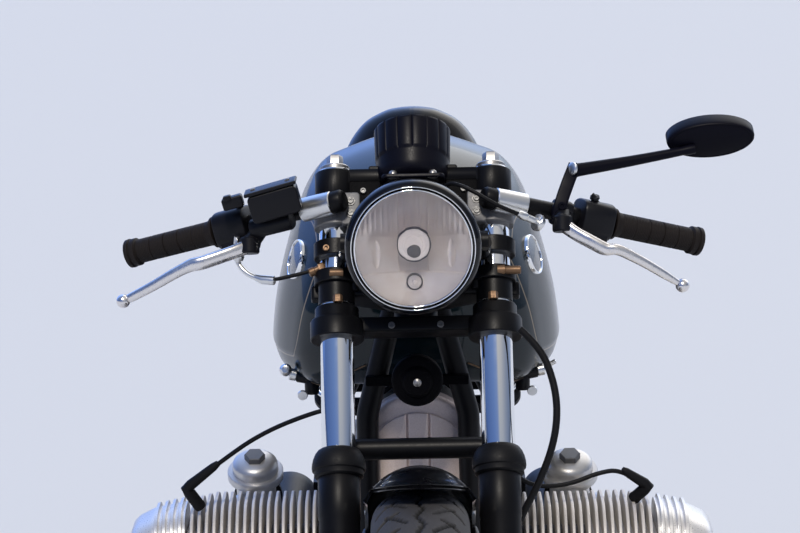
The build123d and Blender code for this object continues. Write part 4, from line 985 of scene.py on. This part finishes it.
hose_route = np.array([
    (-219, 312, 893), (-223, 315, 868), (-210, 303, 848), (-184, 292, 840), (-152, 288, 846),
    (-118, 292, 854)]) / 1000
low_hose_route = np.array([
    (126, 236, 784), (148, 232, 764), (163, 222, 732), (170, 208, 694), (165, 197, 652), (147, 189, 606),
    (124, 187, 564), (103, 188, 518), (90, 182, 468), (84, 166, 424)]) / 1000
cable_route = np.array([
    (150, 293, 907), (128, 278, 919), (98, 266, 934), (66, 271, 954), (40, 290, 960), (28, 317, 926),
    (23, 320, 888), (20, 312, 850)]) / 1000
brake_hose = held_line("brake_hose", hose_route, 0.0024, soft_rubber, "steering")
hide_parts("control_cables")
held_line("caliper_hose", low_hose_route, 0.0045, soft_rubber, "steering")
held_line("clutch_cable", cable_route, 0.0026, soft_rubber, "steering")

# The hose starts inside a bent steel pipe, which shares its first control points
pipe_route = np.concatenate([hose_route[:3], [(hose_route[2] + hose_route[3]) / 2]])
held_line("brake_pipe", pipe_route, 0.0034, silver_sleeve, "steering")
piece("cable_fittings", silver_sleeve, "steering", [
    carried([
        (0.1275, 0.2795, 0.92), (0.13, 0.2805, 0.918), (0.137, 0.2845, 0.9145), (0.138, 0.285, 0.914)
    ], [3.6, 5.2, 5.2, 4.4], steps=24),
    carried([
        (0.138, 0.285, 0.914), (0.139, 0.2856, 0.9132), (0.15, 0.293, 0.907), (0.158, 0.297, 0.903)
    ], 4.4, steps=24),
    carried([
        (0.15, 0.2925, 0.9068), (0.1508, 0.293, 0.9062), (0.154, 0.2952, 0.9045), (0.1548, 0.2958, 0.904)
    ], [9.5, 10.6, 10.6, 9.5], steps=36),
    carried([
        (-0.1975, 0.2978, 0.8445), (-0.1915, 0.2958, 0.8424), (-0.188, 0.2945, 0.8415),
        (-0.1735, 0.2905, 0.8408), (-0.1722, 0.2903, 0.8409)], [3.6, 5, 5.6, 5.6, 4], steps=24),
    carried([
        (-0.2195, 0.3125, 0.882), (-0.2188, 0.3122, 0.877), (-0.2175, 0.3115, 0.866),
        (-0.2168, 0.311, 0.862)], [5.8, 7.2, 7.2, 4.6], steps=28, top=(0, 1, 0))])
piece("hose_end", bronze_zinc, "steering", [carried([
    (-0.1305, 0.2898, 0.849), (-0.1295, 0.29, 0.8494), (-0.124, 0.2912, 0.8514), (-0.123, 0.2914, 0.8518),
    (-0.118, 0.292, 0.854), (-0.112, 0.2935, 0.856)
], [3.6, 5.6, 5.6, 4.6, 4.6, 4.6], steps=24), hex_head((-0.118, 0.292, 0.854), (1, 0.12, 0.3), 12, 7)])

# Brake calipers are black castings, dressed with the frame; the horn is a black disc with a silver nut
horn_front = np.array([0.0, 0.296, 0.7095])
piece("horn_disc", plate_black, "chassis", [
    turned([
        (0, 0), (8, 0), (16, 0.5), (17.5, 2.2), (19, 4), (20, 6), (28, 6.8), (30, 8), (31.8, 10.5),
        (32, 14), (31.8, 24), (30, 27.5), (0, 32)], horn_front - [0, 0.008, 0], (0, 1, 0), 96),
    carried([(0, 0.318, 0.699), (0, 0.372, 0.697)], 7),
    slab(rounded(130, 12, 2), (0, 0.371, 0.697), (1, 0, 0), (0, 0, 1), -7, 7, 1)], "horn", crease=32)
piece("horn_nut", zinc, "chassis", [turned(
    [(0, -2), (2.6, -1.8), (5, 0), (5.5, 3), (0, 3)],
    horn_front - [0, 0.009, 0], (0, 1, 0), 32)])

# Engine case and gearbox: cast aluminium, sand-blasted, with machined edges where they bolt together
cast_grey = finish(
    "cast_alloy", (0.34, 0.32, 0.3), 0.5, 900, (0.42, 0.6), bump=0.00012,
    colours=((0.19, 0.18, 0.17), (0.26, 0.245, 0.23)),
    metallic=0.4)
dress("crankcase", cast_grey, 0.003)
dress("gearbox", cast_grey)
dress("final_drive", cast_grey)

# Front engine cover: a tall ribbed casting over the alternator, warm grey, its inner panel raised and
# split by two upright grooves
warm_cast = finish(
    "warm_cast", (0.42, 0.33, 0.3), 0.42, 700, (0.36, 0.5), bump=0.00006,
    colours=((0.78, 0.65, 0.6), (0.86, 0.73, 0.68)),
    metallic=0.3)


def arch(half, spring, crown, steps=40):
    """Points over a round arch, from right to left, on the circle through its crown."""
    radius = cap_sphere(half, crown - spring)
    x = half * np.cos(np.linspace(0, pi, steps))
    return np.stack([x, crown - radius + np.sqrt(radius ** 2 - x ** 2)], -1)


cover_right = np.array([(96, 300), (106, 330), (112, 360), (112, 440), (108, 460), (80, 515), (76, 530)])
cover_outline = np.concatenate([cover_right, arch(76, 616, 674), cover_right[::-1] * [-1, 1]])
panel_sphere = cap_sphere(62, 42)
upright = ((1, 0, 0), (0, 0, 1))
cover_plates = [slab(cover_outline, (0, 0, 0), *upright, 405, 440, 9)]
for start, end in ((-62, -15.3), (-12.7, 12.7), (15.3, 62)):
    panel_x = np.linspace(end, start, 20)
    panel_top = 648 - panel_sphere + np.sqrt(panel_sphere ** 2 - panel_x ** 2)
    panel = np.concatenate([[(end, 450)], np.stack([panel_x, panel_top], -1), [(start, 450)]])
    cover_plates.append(slab(panel, (0, 0, 0), *upright, 401, 408, 1.4))

# The plates rise along their own normal, which faces forward here
piece(
    "front_cover_cast", warm_cast, "chassis", [plate * [1, -1, 1] for plate in cover_plates],
    "front_cover", crease=50)

# Cylinders and heads: cast aluminium barrels and heads with thin upright cooling fins, coloured bright at
# their edges and darkened toward the core by painted shade, for the shadowed gaps between the fins
fin_alloy = finish("fin_alloy", (0.42, 0.42, 0.41), 0.5, 600, (0.42, 0.6), bump=0.00006, metallic=0.3)
# Painted shade: the fins' colour runs from bright alloy at their edges to near black toward the core
tint_by(fin_alloy, "shade", (0.56, 0.53, 0.5), (0.035, 0.03, 0.028))
crank_z = 0.405
cylinder_y = {1: 0.525, -1: 0.56}
fin_pitch, fin_tall = 0.01, 203
for part_name, first_x, thick, fin_long, shrink in (
    ("cylinders", 0.1362, 4.2, 200, [0] * 9),
    ("heads", 0.2262, 4.4, 206, [0, 0, 0, 0, 0, 4, 9, 14])):
    grids = []
    for side, y in cylinder_y.items():
        for fin, less in enumerate(shrink):
            outline = rounded(fin_long - less, fin_tall - less, 76 - less / 2, 14)
            start, end = sorted((0, side * thick))
            fin_foot = (side * (first_x + fin * fin_pitch), y, crank_z)
            grids.append(slab(outline, fin_foot, (0, 1, 0), (0, 0, 1), start, end, 1))
        if part_name == "cylinders":
            grids.append(turned(
                [(0, 132), (62, 132), (62, 222), (0, 222)], (0, y, crank_z), (side, 0, 0), 64))
        else:
            start, end = sorted((side * 222, side * 308))
            grids.append(slab(rounded(150, 128, 24), (0, y, crank_z), (0, 1, 0), (0, 0, 1), start, end, 2))
            grids.append(turned(
                [(0, 0), (26, 0), (26, 52), (0, 52)], (side * 0.252, y - 0.06, crank_z - 0.03), (0, -1, 0),
                48))
            grids.append(turned(
                [(0, 0), (24, 0), (24, 46), (0, 46)], (side * 0.245, y + 0.106, crank_z + 0.052),
                (0, -1, 0), 48))
    finned = piece(part_name + "_finned", fin_alloy, "chassis", grids, part_name)
    spots = places_of(finned)
    middle = np.where(spots[:, 0] > 0, cylinder_y[1], cylinder_y[-1])
    reach = np.hypot(spots[:, 1] - middle, spots[:, 2] - crank_z)
    # Painted shade: each point darkens as it lies nearer the barrel's axis, from 98.5 mm in to 72.5 mm
    mark(finned, "shade", np.clip((0.0985 - reach) / 0.026, 0, 1))

# Valve covers: polished and lightly ribbed castings that close the heads, each with one centre nut
cover_alloy = finish("cover_alloy", (0.68, 0.67, 0.66), 0.36, 500, (0.26, 0.38), bump=0.00006, metallic=0.6)
cover_out = np.array([
    0, 0.0005, *np.linspace(0.001, 0.044, 130), 0.05, 0.056, 0.06, 0.064, 0.068, 0.071, 0.0735, 0.0748,
    0.075])
cover_y = np.interp(cover_out, [0, 0.044, 0.064, 0.071, 0.075], [0.152, 0.146, 0.138, 0.129, 0.112])
cover_z = np.interp(cover_out, [0, 0.044, 0.064, 0.071, 0.075], [0.186, 0.169, 0.15, 0.136, 0.112])
rib_start, rib_pitch, rib_width, rib_slope = 0.0035, 0.0105, 0.0062, 0.0012
rib_place = np.mod(cover_out - rib_start, rib_pitch)
rib = np.clip(np.minimum(rib_place, rib_width - rib_place) / rib_slope, 0, 1)
rib *= (cover_out < 0.0445) & (cover_out > 0.003)
cover_turn = full_turn(96)[None]
cover_grids = []
for side, y in cylinder_y.items():
    half_y = (cover_y / 2 + 0.0045 * rib)[:, None]
    half_z = (cover_z / 2 + 0.0055 * rib)[:, None]
    ring_y, ring_z = squarish(cover_turn, 0.62)
    cover_x = side * (0.308 + cover_out[:, None]) + 0 * ring_y
    cover_grids.append(np.stack([cover_x, y + half_y * ring_y, crank_z + half_z * ring_z], -1))
piece("valve_covers_ribbed", cover_alloy, "chassis", cover_grids, "valve_covers", crease=40)
piece("cover_nuts", zinc, "chassis", [
    grid for side, y in cylinder_y.items() for grid in (
        turned([(0, 0), (16, 0), (16, 2), (0, 2)], (side * 0.3828, y, crank_z), (side, 0, 0), 32),
        hex_head((side * 0.3846, y, crank_z), (side, 0, 0), 17, 3.5))])

# Carburettors: cast bodies with a domed round cap, a hexagonal plug on it, a float bowl, and a pleated
# cone filter behind
carb_x = {1: 0.204, -1: 0.2235}
inlet_z = 0.457
cap_lean = radians(25)
cap_up = np.array([0.0, -sin(cap_lean), cos(cap_lean)])
carb_grids, filter_grids, knob_grids = [], [], []


def pleats(angle, row):
    """Forty-four folds round the filter's cone."""
    return np.where((row > 1) & (row < 6), 1 - 0.05 * (0.5 + 0.5 * np.cos(44 * angle)), 1.0)


for side, y in cylinder_y.items():
    x = side * carb_x[side]
    cap_base = np.array([x, y + 0.172, 0.469])
    carb_grids += [
        turned([
            (0, -14), (25, -14), (27, -12), (27, 31), (37, 32), (38, 33.5), (38, 42.5), (37, 44),
            (31.2, 44.5), (30.8, 54), (30, 56.5), (27, 59.5), (22.5, 62.5), (0, 63)], cap_base, cap_up, 96),
        turned([(0, 0), (22, 0), (22, 62), (0, 62)], (x, y + 0.15, inlet_z), (0, 1, 0), 48),
        turned([
            (0, 0), (21, 0), (24.5, 4), (25, 8), (25, 30), (27, 31), (27, 35), (25, 36), (25, 60), (0, 60)
        ], (x, y + 0.165, 0.395), (0, 0, 1), 64),
        carried(bent([
            (side * 0.245, y + 0.1063, inlet_z), (side * 0.245, y + 0.142, inlet_z),
            (x, y + 0.168, inlet_z)
        ], [0.02]), 20)]
    knob_grids.append(hex_head(cap_base + cap_up * 0.0625, cap_up, 24.5, 9))
    filter_grids.append(turned([
        (0, 0), (33.5, 0), (34, 3), (34, 10), (27.5, 60), (28.5, 61), (26.5, 68), (25, 70), (0, 70)
    ], (x, y + 0.212, inlet_z), (0, 1, 0), 352, pleats))
piece(
    "carburettor_bodies",
    finish("carb_alloy", (0.62, 0.61, 0.6), 0.34, 500, (0.3, 0.45), bump=0.00005, metallic=0.75),
    "chassis", carb_grids, "carburettors", crease=34)
piece("carburettor_plugs", dull_steel, "chassis", knob_grids)
piece("cone_filters", soft_rubber, "chassis", filter_grids)

# Spark plug leads: thick black rubber cords from the coil to angled caps on the plugs
lead_routes = {
    -1: (
        (-10, 480, 700), (-28, 476, 668), (-72, 472, 648), (-125, 474, 640), (-201, 484, 610),
        (-261, 492, 568), (-304, 498, 534)),
    1: (
        (10, 490, 700), (34, 482, 668), (86, 474, 640), (112, 466, 566), (140, 470, 534), (190, 480, 531),
        (234, 486, 547), (264, 490, 549), (298, 494, 526))}
plug_ends = {-1: (-286, 506, 506), 1: (278, 504, 506)}
boot_grids = [
    turned([(0, 0), (20, 0), (22, 2), (22, 86), (20, 88), (0, 88)], (0, 0.468, 0.706), (0, 1, 0), 48),
    turned([(0, 0), (10, 0), (10, 20), (0, 20)], (0, 0.512, 0.714), (0, 0, 1), 24)]
for side, route in lead_routes.items():
    route = np.array(route) / 1000
    held_line(
        "spark_lead_" + {1: "left", -1: "right"}[side], route, 0.003, soft_rubber, "chassis")
    elbow = route[-1]
    plug = np.array(plug_ends[side]) / 1000
    boot = np.concatenate([
        np.linspace(route[-2], elbow, 8)[:-1], [elbow * 0.98 + plug * 0.02],
        np.linspace(elbow, plug, 10)[2:]])
    boot_size = np.interp(
        np.linspace(0, 1, len(boot)), [0, 0.05, 0.2, 0.42, 0.55, 0.9, 0.96, 1.0],
        [4, 5.5, 6.2, 7.2, 8, 8, 8.8, 7.5])
    boot_grids.append(carried(boot, boot_size, top=(0, -1, 0.2), steps=28))
piece("spark_boots", soft_rubber, "chassis", boot_grids, "spark_leads", crease=50)

# Exhausts: chromed tubes from the heads under the engine to long tapered silencers with open ends, which
# carry a satin black heat-proof coat
exhaust_grids, silencer_grids = [], []
for side, y in cylinder_y.items():
    header = bent([
        (side * 0.252, y - 0.112, 0.375), (side * 0.252, y - 0.165, 0.375), (side * 0.232, y - 0.12, 0.18),
        (side * 0.205, y + 0.1, 0.176), (side * 0.205, 0.9, 0.19), (side * 0.205, 1.01, 0.232)
    ], [0.04, 0.06, 0.08, 0.2], 14)
    exhaust_grids.append(carried(header, 19, top=(1, 0, 0), steps=40))
    exhaust_grids.append(turned(
        [(25.5, -6), (28.5, -6), (29, -4), (29, 6), (27, 10), (19.5, 12)],
        (side * 0.252, y - 0.112, 0.375), (0, -1, 0), 64))
    silencer_grids.append(turned([
        (19.5, -4), (22.5, -2), (23, 10), (26, 26), (34.5, 58), (40.5, 84), (42.2, 98), (45.8, 440),
        (46, 462), (44.8, 468), (42, 470), (30, 468), (19, 466), (18, 468), (16.5, 466), (16, 400), (0, 398)
    ], (side * 0.205, 0.99, 0.224), (0, 1, 0.16), 72))
piece("exhaust_pipes", chrome_plate, "chassis", exhaust_grids, "exhausts", caps=False)
piece("silencers", satin_black, "chassis", silencer_grids, caps=False)

# Rear shocks: a black damper body and a chromed rod inside a wound spring
spring_grids, damper_grids = [], []
for side in (1, -1):
    low = np.array([side * 0.13, 1.433, 0.414])
    high = np.array([side * 0.13, 1.215, 0.735])
    span = high - low
    reach = 1000 * np.linalg.norm(span)
    along = 1000 * span / reach
    across_shock = np.array([1.0, 0.0, 0.0])
    third = np.cross(along, across_shock)
    turns = np.linspace(0, 1, 400)[:, None]
    wind = 2 * pi * 9.5 * turns
    coil = low + span * (0.19 + 0.67 * turns) + 0.025 * (np.cos(wind) * across_shock + np.sin(wind) * third)
    spring_grids.append(carried(coil, 3.7, top=along, steps=10))
    damper_grids += [
        turned([
            (0, 0), (15, 0), (17, 2), (17, 0.41 * reach), (15, 0.42 * reach), (8, 0.42 * reach),
            (8, reach), (0, reach)], low, along, 40),
        turned([
            (14, 0.16 * reach), (29, 0.16 * reach), (31, 0.166 * reach), (31, 0.184 * reach),
            (29, 0.19 * reach), (14, 0.19 * reach)], low, along, 48),
        turned([
            (8, 0.86 * reach), (29, 0.86 * reach), (31, 0.866 * reach), (31, 0.884 * reach),
            (24, 0.893 * reach), (8, 0.896 * reach)], low, along, 48)]
    for end in (low, high):
        damper_grids.append(turned([
            (0, -11), (16.5, -11), (18, -9), (18, 9), (16.5, 11), (0, 11)], end, (1, 0, 0), 32))
piece("shock_springs", chrome_plate, "chassis", spring_grids)
piece("shock_dampers", satin_black, "chassis", damper_grids, "shocks")

# Fuel tank: pressed steel, rounded and knee-scooped, gloss black with a blue-green tint, with a thin
# pale stripe round each side, a folded seam along its lower edge and a plain round badge
# Columns in millimetres: y, half width, lower edge, widest height, shoulder, crown
tank_table = np.array([
    (430, 40, 730, 752, 800, 812), (438, 74, 706, 750, 850, 878), (462, 112, 688, 732, 884, 916),
    (500, 148, 668, 716, 908, 946), (545, 168, 665, 712, 924, 962), (600, 184, 664, 710, 936, 972),
    (655, 191, 664, 710, 939, 974), (710, 192, 664, 710, 938, 972), (770, 183, 672, 718, 928, 962),
    (830, 170, 684, 728, 914, 948), (885, 149, 696, 740, 892, 924), (940, 126, 706, 750, 866, 896),
    (985, 104, 720, 758, 832, 856), (1000, 92, 732, 764, 812, 830)]) / 1000

# Share of the half width, and height: 0 lower edge, 1 widest, 2 shoulder, 3 crown
tank_share = np.array([
    (0.0, 0.0), (0.5, 0.0), (0.8, 0.0), (0.875, 0.06), (0.955, 0.3), (0.993, 0.72), (1.0, 1.0),
    (0.968, 1.22), (0.905, 1.45), (0.822, 1.68), (0.728, 1.87), (0.6, 2.0), (0.43, 2.42), (0.225, 2.82),
    (0.09, 2.974), (0.03, 2.997), (0.0, 3.0)])
level = np.minimum(tank_share[:, 1].astype(int), 2)
rise_share = (tank_share[:, 1] - level)[:, None]
tank_height = tank_table[:, 2 + level].T * (1 - rise_share) + tank_table[:, 3 + level].T * rise_share
tank_key = np.stack([
    tank_share[:, :1] * tank_table[:, 1],
    np.broadcast_to(tank_table[:, 0], tank_height.shape),
    tank_height], -1)

# The key points are eased twice: round each section, then from the nose to the seat
half_tank = smooth_run(tank_key, 90)
half_tank[-1, :, 0] = 0
tank_rows = smooth_run(half_tank.transpose(1, 0, 2), 130)
middle_rows = tank_rows.mean(1, keepdims=True) * [0, 1, 1]
nose = np.array([0, 0.45, 0.78, 0.94])[:, None, None]
nose_in = np.array([-0.0052, -0.0046, -0.003, -0.0012])[:, None, None] * [0, 1, 0]
front_rows = middle_rows[:1] + nose * (tank_rows[:1] - middle_rows[:1]) + nose_in
back_rows = middle_rows[-1:] + nose[::-1] * (tank_rows[-1:] - middle_rows[-1:]) - nose_in[::-1]
tank_rows = np.concatenate([front_rows, tank_rows, back_rows])
tank_grid = np.concatenate([tank_rows, tank_rows[:, -2:0:-1] * [-1, 1, 1]], 1)
tank_colour = (0.003, 0.009, 0.012)
tank_paint = finish("tank_paint", tank_colour, 0.3, 3000, (0.25, 0.35), coat=0.6, specular=0.05)
paint = tank_paint.node_tree
stripe_read = paint.nodes.new("ShaderNodeAttribute")
stripe_read.attribute_name = "stripe"
stripe_width = paint.nodes.new("ShaderNodeMath")
stripe_width.operation = "ABSOLUTE"
paint.links.new(stripe_read.outputs["Fac"], stripe_width.inputs[0])
stripe_edge = stretched(paint, stripe_width.outputs[0], 0.0008, 0.0013, 1, 0)
striped = colour_mix(paint, tank_colour, (0.21, 0.17, 0.12), stripe_edge)
paint.links.new(striped, paint.nodes["Principled BSDF"].inputs["Base Color"])
tank = piece("fuel_tank_skin", tank_paint, "chassis", [tank_grid], "fuel_tank", crease=60)


def line_distance(points, corners):
    """The distance of each point in a plane from a closed run of straight lines."""
    nearest = np.full(len(points), 9.0)
    for start, end in zip(corners, np.roll(corners, -1, 0)):
        run = end - start
        share = np.clip((points - start) @ run / (run @ run), 0, 1)
        nearest = np.minimum(nearest, np.linalg.norm(points - start - share[:, None] * run, axis=1))
    return nearest


# Inside the stripe's loop, where a level ray crosses it an odd number of times, the distance counts
# below zero
stripe_key = np.array([
    (0.494, 0.832), (0.505, 0.772), (0.518, 0.712), (0.545, 0.699), (0.66, 0.698), (0.78, 0.706),
    (0.88, 0.736), (0.925, 0.775), (0.9, 0.835), (0.8, 0.872), (0.66, 0.885), (0.54, 0.872)])
stripe_loop = smooth_run(np.concatenate([stripe_key, stripe_key[:1]]), 90)[:-1]
next_corner = np.roll(stripe_loop, -1, 0)
spots = places_of(tank)
spot_y, spot_z = spots[:, 1:2], spots[:, 2:3]
passes = (stripe_loop[:, 1] > spot_z) != (next_corner[:, 1] > spot_z)
slope = (next_corner[:, 0] - stripe_loop[:, 0]) / (next_corner[:, 1] - stripe_loop[:, 1] + 1e-12)
passes &= spot_y < stripe_loop[:, 0] + (spot_z - stripe_loop[:, 1]) * slope
stripe = line_distance(spots[:, 1:], stripe_loop) + 0.05 * (np.abs(spots[:, 0]) < 0.11)
mark(tank, "stripe", stripe * np.where(passes.sum(1) % 2 == 1, -1, 1))
seam_y = np.linspace(0.44, 0.995, 90)
seam_half = np.interp(seam_y, tank_table[:, 0], tank_table[:, 1])
seam_low = np.interp(seam_y, tank_table[:, 0], tank_table[:, 2])
seam_edge = np.stack([0.84 * seam_half, seam_y, seam_low - 0.0006], -1)
piece(
    "tank_seam",
    finish("seam_brown", (0.16, 0.1, 0.055), 0.45, 700, (0.4, 0.55)),
    "chassis",
    [carried(seam_edge * [side, 1, 1], 3.4, 1.1, steps=12) for side in (1, -1)])

# The badges and the filler cap stand on the tank's own surface
badge_row = int(np.argmin(np.abs(tank_rows[:, 45, 1] - 0.56)))
badge_column = int(np.argmin(np.abs(tank_rows[badge_row, 20:80, 2] - 0.822))) + 20
badge_spot = tank_rows[badge_row, badge_column]
badge_normal = np.cross(
    tank_rows[badge_row + 3, badge_column] - tank_rows[badge_row - 3, badge_column],
    tank_rows[badge_row, badge_column + 3] - tank_rows[badge_row, badge_column - 3])
badge_normal *= np.sign(badge_normal[0]) / np.linalg.norm(badge_normal)
badge_disc = [(0, 3.8), (20.5, 3.4), (23.8, 2.8), (24, -6), (0, -6)]
badge_rim = [(23.8, -4), (23.8, 3), (24.4, 4.4), (25.7, 4.6), (26.6, 3.4), (26.8, -4)]
piece(
    "tank_badges",
    finish("badge_enamel", (0.03, 0.032, 0.035), 0.2, 300, (0.15, 0.3), coat=1.0),
    "chassis",
    [turned(badge_disc, badge_spot * [side, 1, 1], badge_normal * [side, 1, 1], 64) for side in (1, -1)])
piece("badge_rims", chrome_plate, "chassis", [
    turned(badge_rim, badge_spot * [side, 1, 1], badge_normal * [side, 1, 1], 64) for side in (1, -1)
], caps=False)
piece("filler_cap_chromed", chrome_plate, "chassis", [turned([
    (0, -4), (36, -4), (36.2, 6), (34, 10), (33.5, 12.5), (31.5, 16.5), (27, 18.5), (12, 19.6), (0, 19.8)
], (0, 0.655, 0.966), (0, 0, 1), 72)], "filler_cap")

# Fuel taps: one under each side of the tank, a black body with a silver knob or lever
piece("fuel_tap_bodies", moulded, "chassis", both(lambda side: (
    turned(
        [(0, 0), (8.5, 0), (9.5, 2), (9.5, 20), (7, 24), (0, 24)],
        (side * 0.138, 0.54, 0.648), (0, 0, 1), 32),
    turned(
        [(0, 0), (8.5, 0), (8.5, 22), (7.5, 24), (0, 24)],
        (side * 0.134, 0.54, 0.668), (side, 0, 0.2), 32))))
piece("fuel_tap_knobs", silver_sleeve, "chassis", [
    *both(lambda side: (
        turned(
            [(0, 0), (6, 0), (7.8, 1.5), (7.8, 9), (6.2, 10.5), (0, 10.5)],
            (side * 0.157, 0.54, 0.673), (side, 0, 0.2), 32),
        turned([(0, 0), (6, 0), (6.8, 2), (6, 6), (0, 6)], (side * 0.15, 0.528, 0.649), (0, -1, 0), 24))),
    turned([(0, -8), (5, -7), (8, -3), (8, 3), (5, 7), (0, 8)], (-0.1715, 0.536, 0.681), (0, -1, 0.4), 32),
    carried([(0.164, 0.54, 0.677), (0.17, 0.54, 0.679), (0.18, 0.54, 0.684), (0.1815, 0.54, 0.685)], 4.2, 3)
])

# Tail hump: a glass fibre cowl in gloss black that closes the seat behind, with a plain flat pan
# Columns in millimetres: y, half width, lower edge, top
hump_table = np.array([
    (1229, 60, 800, 880), (1231, 96, 774, 898), (1240, 107, 766, 912), (1270, 112, 766, 934),
    (1310, 110, 768, 934), (1350, 104, 772, 926), (1400, 91, 780, 900), (1436, 78, 787, 874),
    (1441, 60, 800, 860)]) / 1000
hump_share = np.array([
    (0.0, 0.0), (0.55, 0.0), (0.86, 0.0), (0.97, 0.06), (1.0, 0.2), (0.99, 0.4), (0.92, 0.58), (0.8, 0.74),
    (0.61, 0.88), (0.35, 0.968), (0.17, 0.993), (0.05, 0.9995), (0.0, 1.0)])
hump_key = np.stack([
    hump_share[:, :1] * hump_table[:, 1], np.broadcast_to(hump_table[:, 0], (13, 9)),
    hump_table[:, 2] + hump_share[:, 1:] * (hump_table[:, 3] - hump_table[:, 2])], -1)
half_hump = smooth_run(smooth_run(hump_key, 60).transpose(1, 0, 2), 60)
hump_grid = np.concatenate([half_hump, half_hump[:, -2:0:-1] * [-1, 1, 1]], 1)
piece(
    "tail_hump", gloss_black, "chassis",
    [hump_grid, slab(rounded(210, 240, 20), (0, 1.14, 0.762), (1, 0, 0), (0, 1, 0), 0, 14, 2)],
    "tail_cowl")

# Seat pad: black leather stitched over foam in lengthwise channels, glued and pressed onto the seat pan
pad_out = np.stack(squarish(full_turn(240), 0.36), -1) * [0.107, 0.103]
pad_level = np.array([
    (0.0, 0.0), (0.6, 0.0), (0.9, 0.0), (0.955, 0.001), (0.985, 0.006), (1.0, 0.014), (1.0, 0.024),
    (0.992, 0.031), (0.975, 0.036), (0.962, 0.0385), (0.952, 0.0378), (0.94, 0.0388), (0.9, 0.0425),
    *[(share, 0.0425 + 0.0042 * (1 - share / 0.9) ** 0.7) for share in np.linspace(0.87, 0, 60)]])
pad_grid = pad_level[:, :1, None] * pad_out[None]
pad_height = np.broadcast_to(pad_level[:, 1:], pad_grid.shape[:2]).copy()
channel_pitch = 0.0268
channel = np.mod(pad_grid[..., 0] + channel_pitch / 2, channel_pitch) - channel_pitch / 2
top_share = np.clip((pad_level[:, 1:] - 0.04) / 0.002, 0, 1) * (pad_level[:, :1] < 0.95)
pad_height -= 0.0055 * np.exp(-(channel / 0.0034) ** 2) * top_share
puckers = np.sin(pad_grid[..., 1] * 420 + 40 * np.abs(pad_grid[..., 0]))
pad_height += 0.0012 * puckers * np.exp(-(channel / 0.008) ** 2) * top_share
leather = finish("seat_leather", (0.02, 0.018, 0.017), 0.5, 60, (0.42, 0.62), bump=0.0004)
grain(leather, 900, bump=0.00018, cells=True)
pad = piece(
    "seat_pad_stitched", leather, "chassis",
    [np.stack([pad_grid[..., 0], 1.122 + pad_grid[..., 1], 0.7763 + pad_height], -1)],
    "seat_pad", crease=60)

# Tail lamp: a round red lens in a short black cup
tail_lamp_foot = (0, 1.434, 0.83)
piece("tail_lamp_cup", moulded, "chassis", [turned([
    (0, 0), (33, 0), (33, 14), (31.5, 15.5), (29.5, 15), (29, 10), (0, 10)
], tail_lamp_foot, (0, 1, 0), 64)], "tail_lamp")
piece(
    "tail_lamp_lens",
    finish("red_lens", (0.45, 0.012, 0.01), 0.12, 300, (0.08, 0.2), bump=0.0002, coat=0.6),
    "chassis",
    [turned([
        (0, 10), (29, 10), (28.8, 20), (27, 24.5), (20, 27), (10, 27.8), (0, 28)
    ], tail_lamp_foot, (0, 1, 0), 64)])
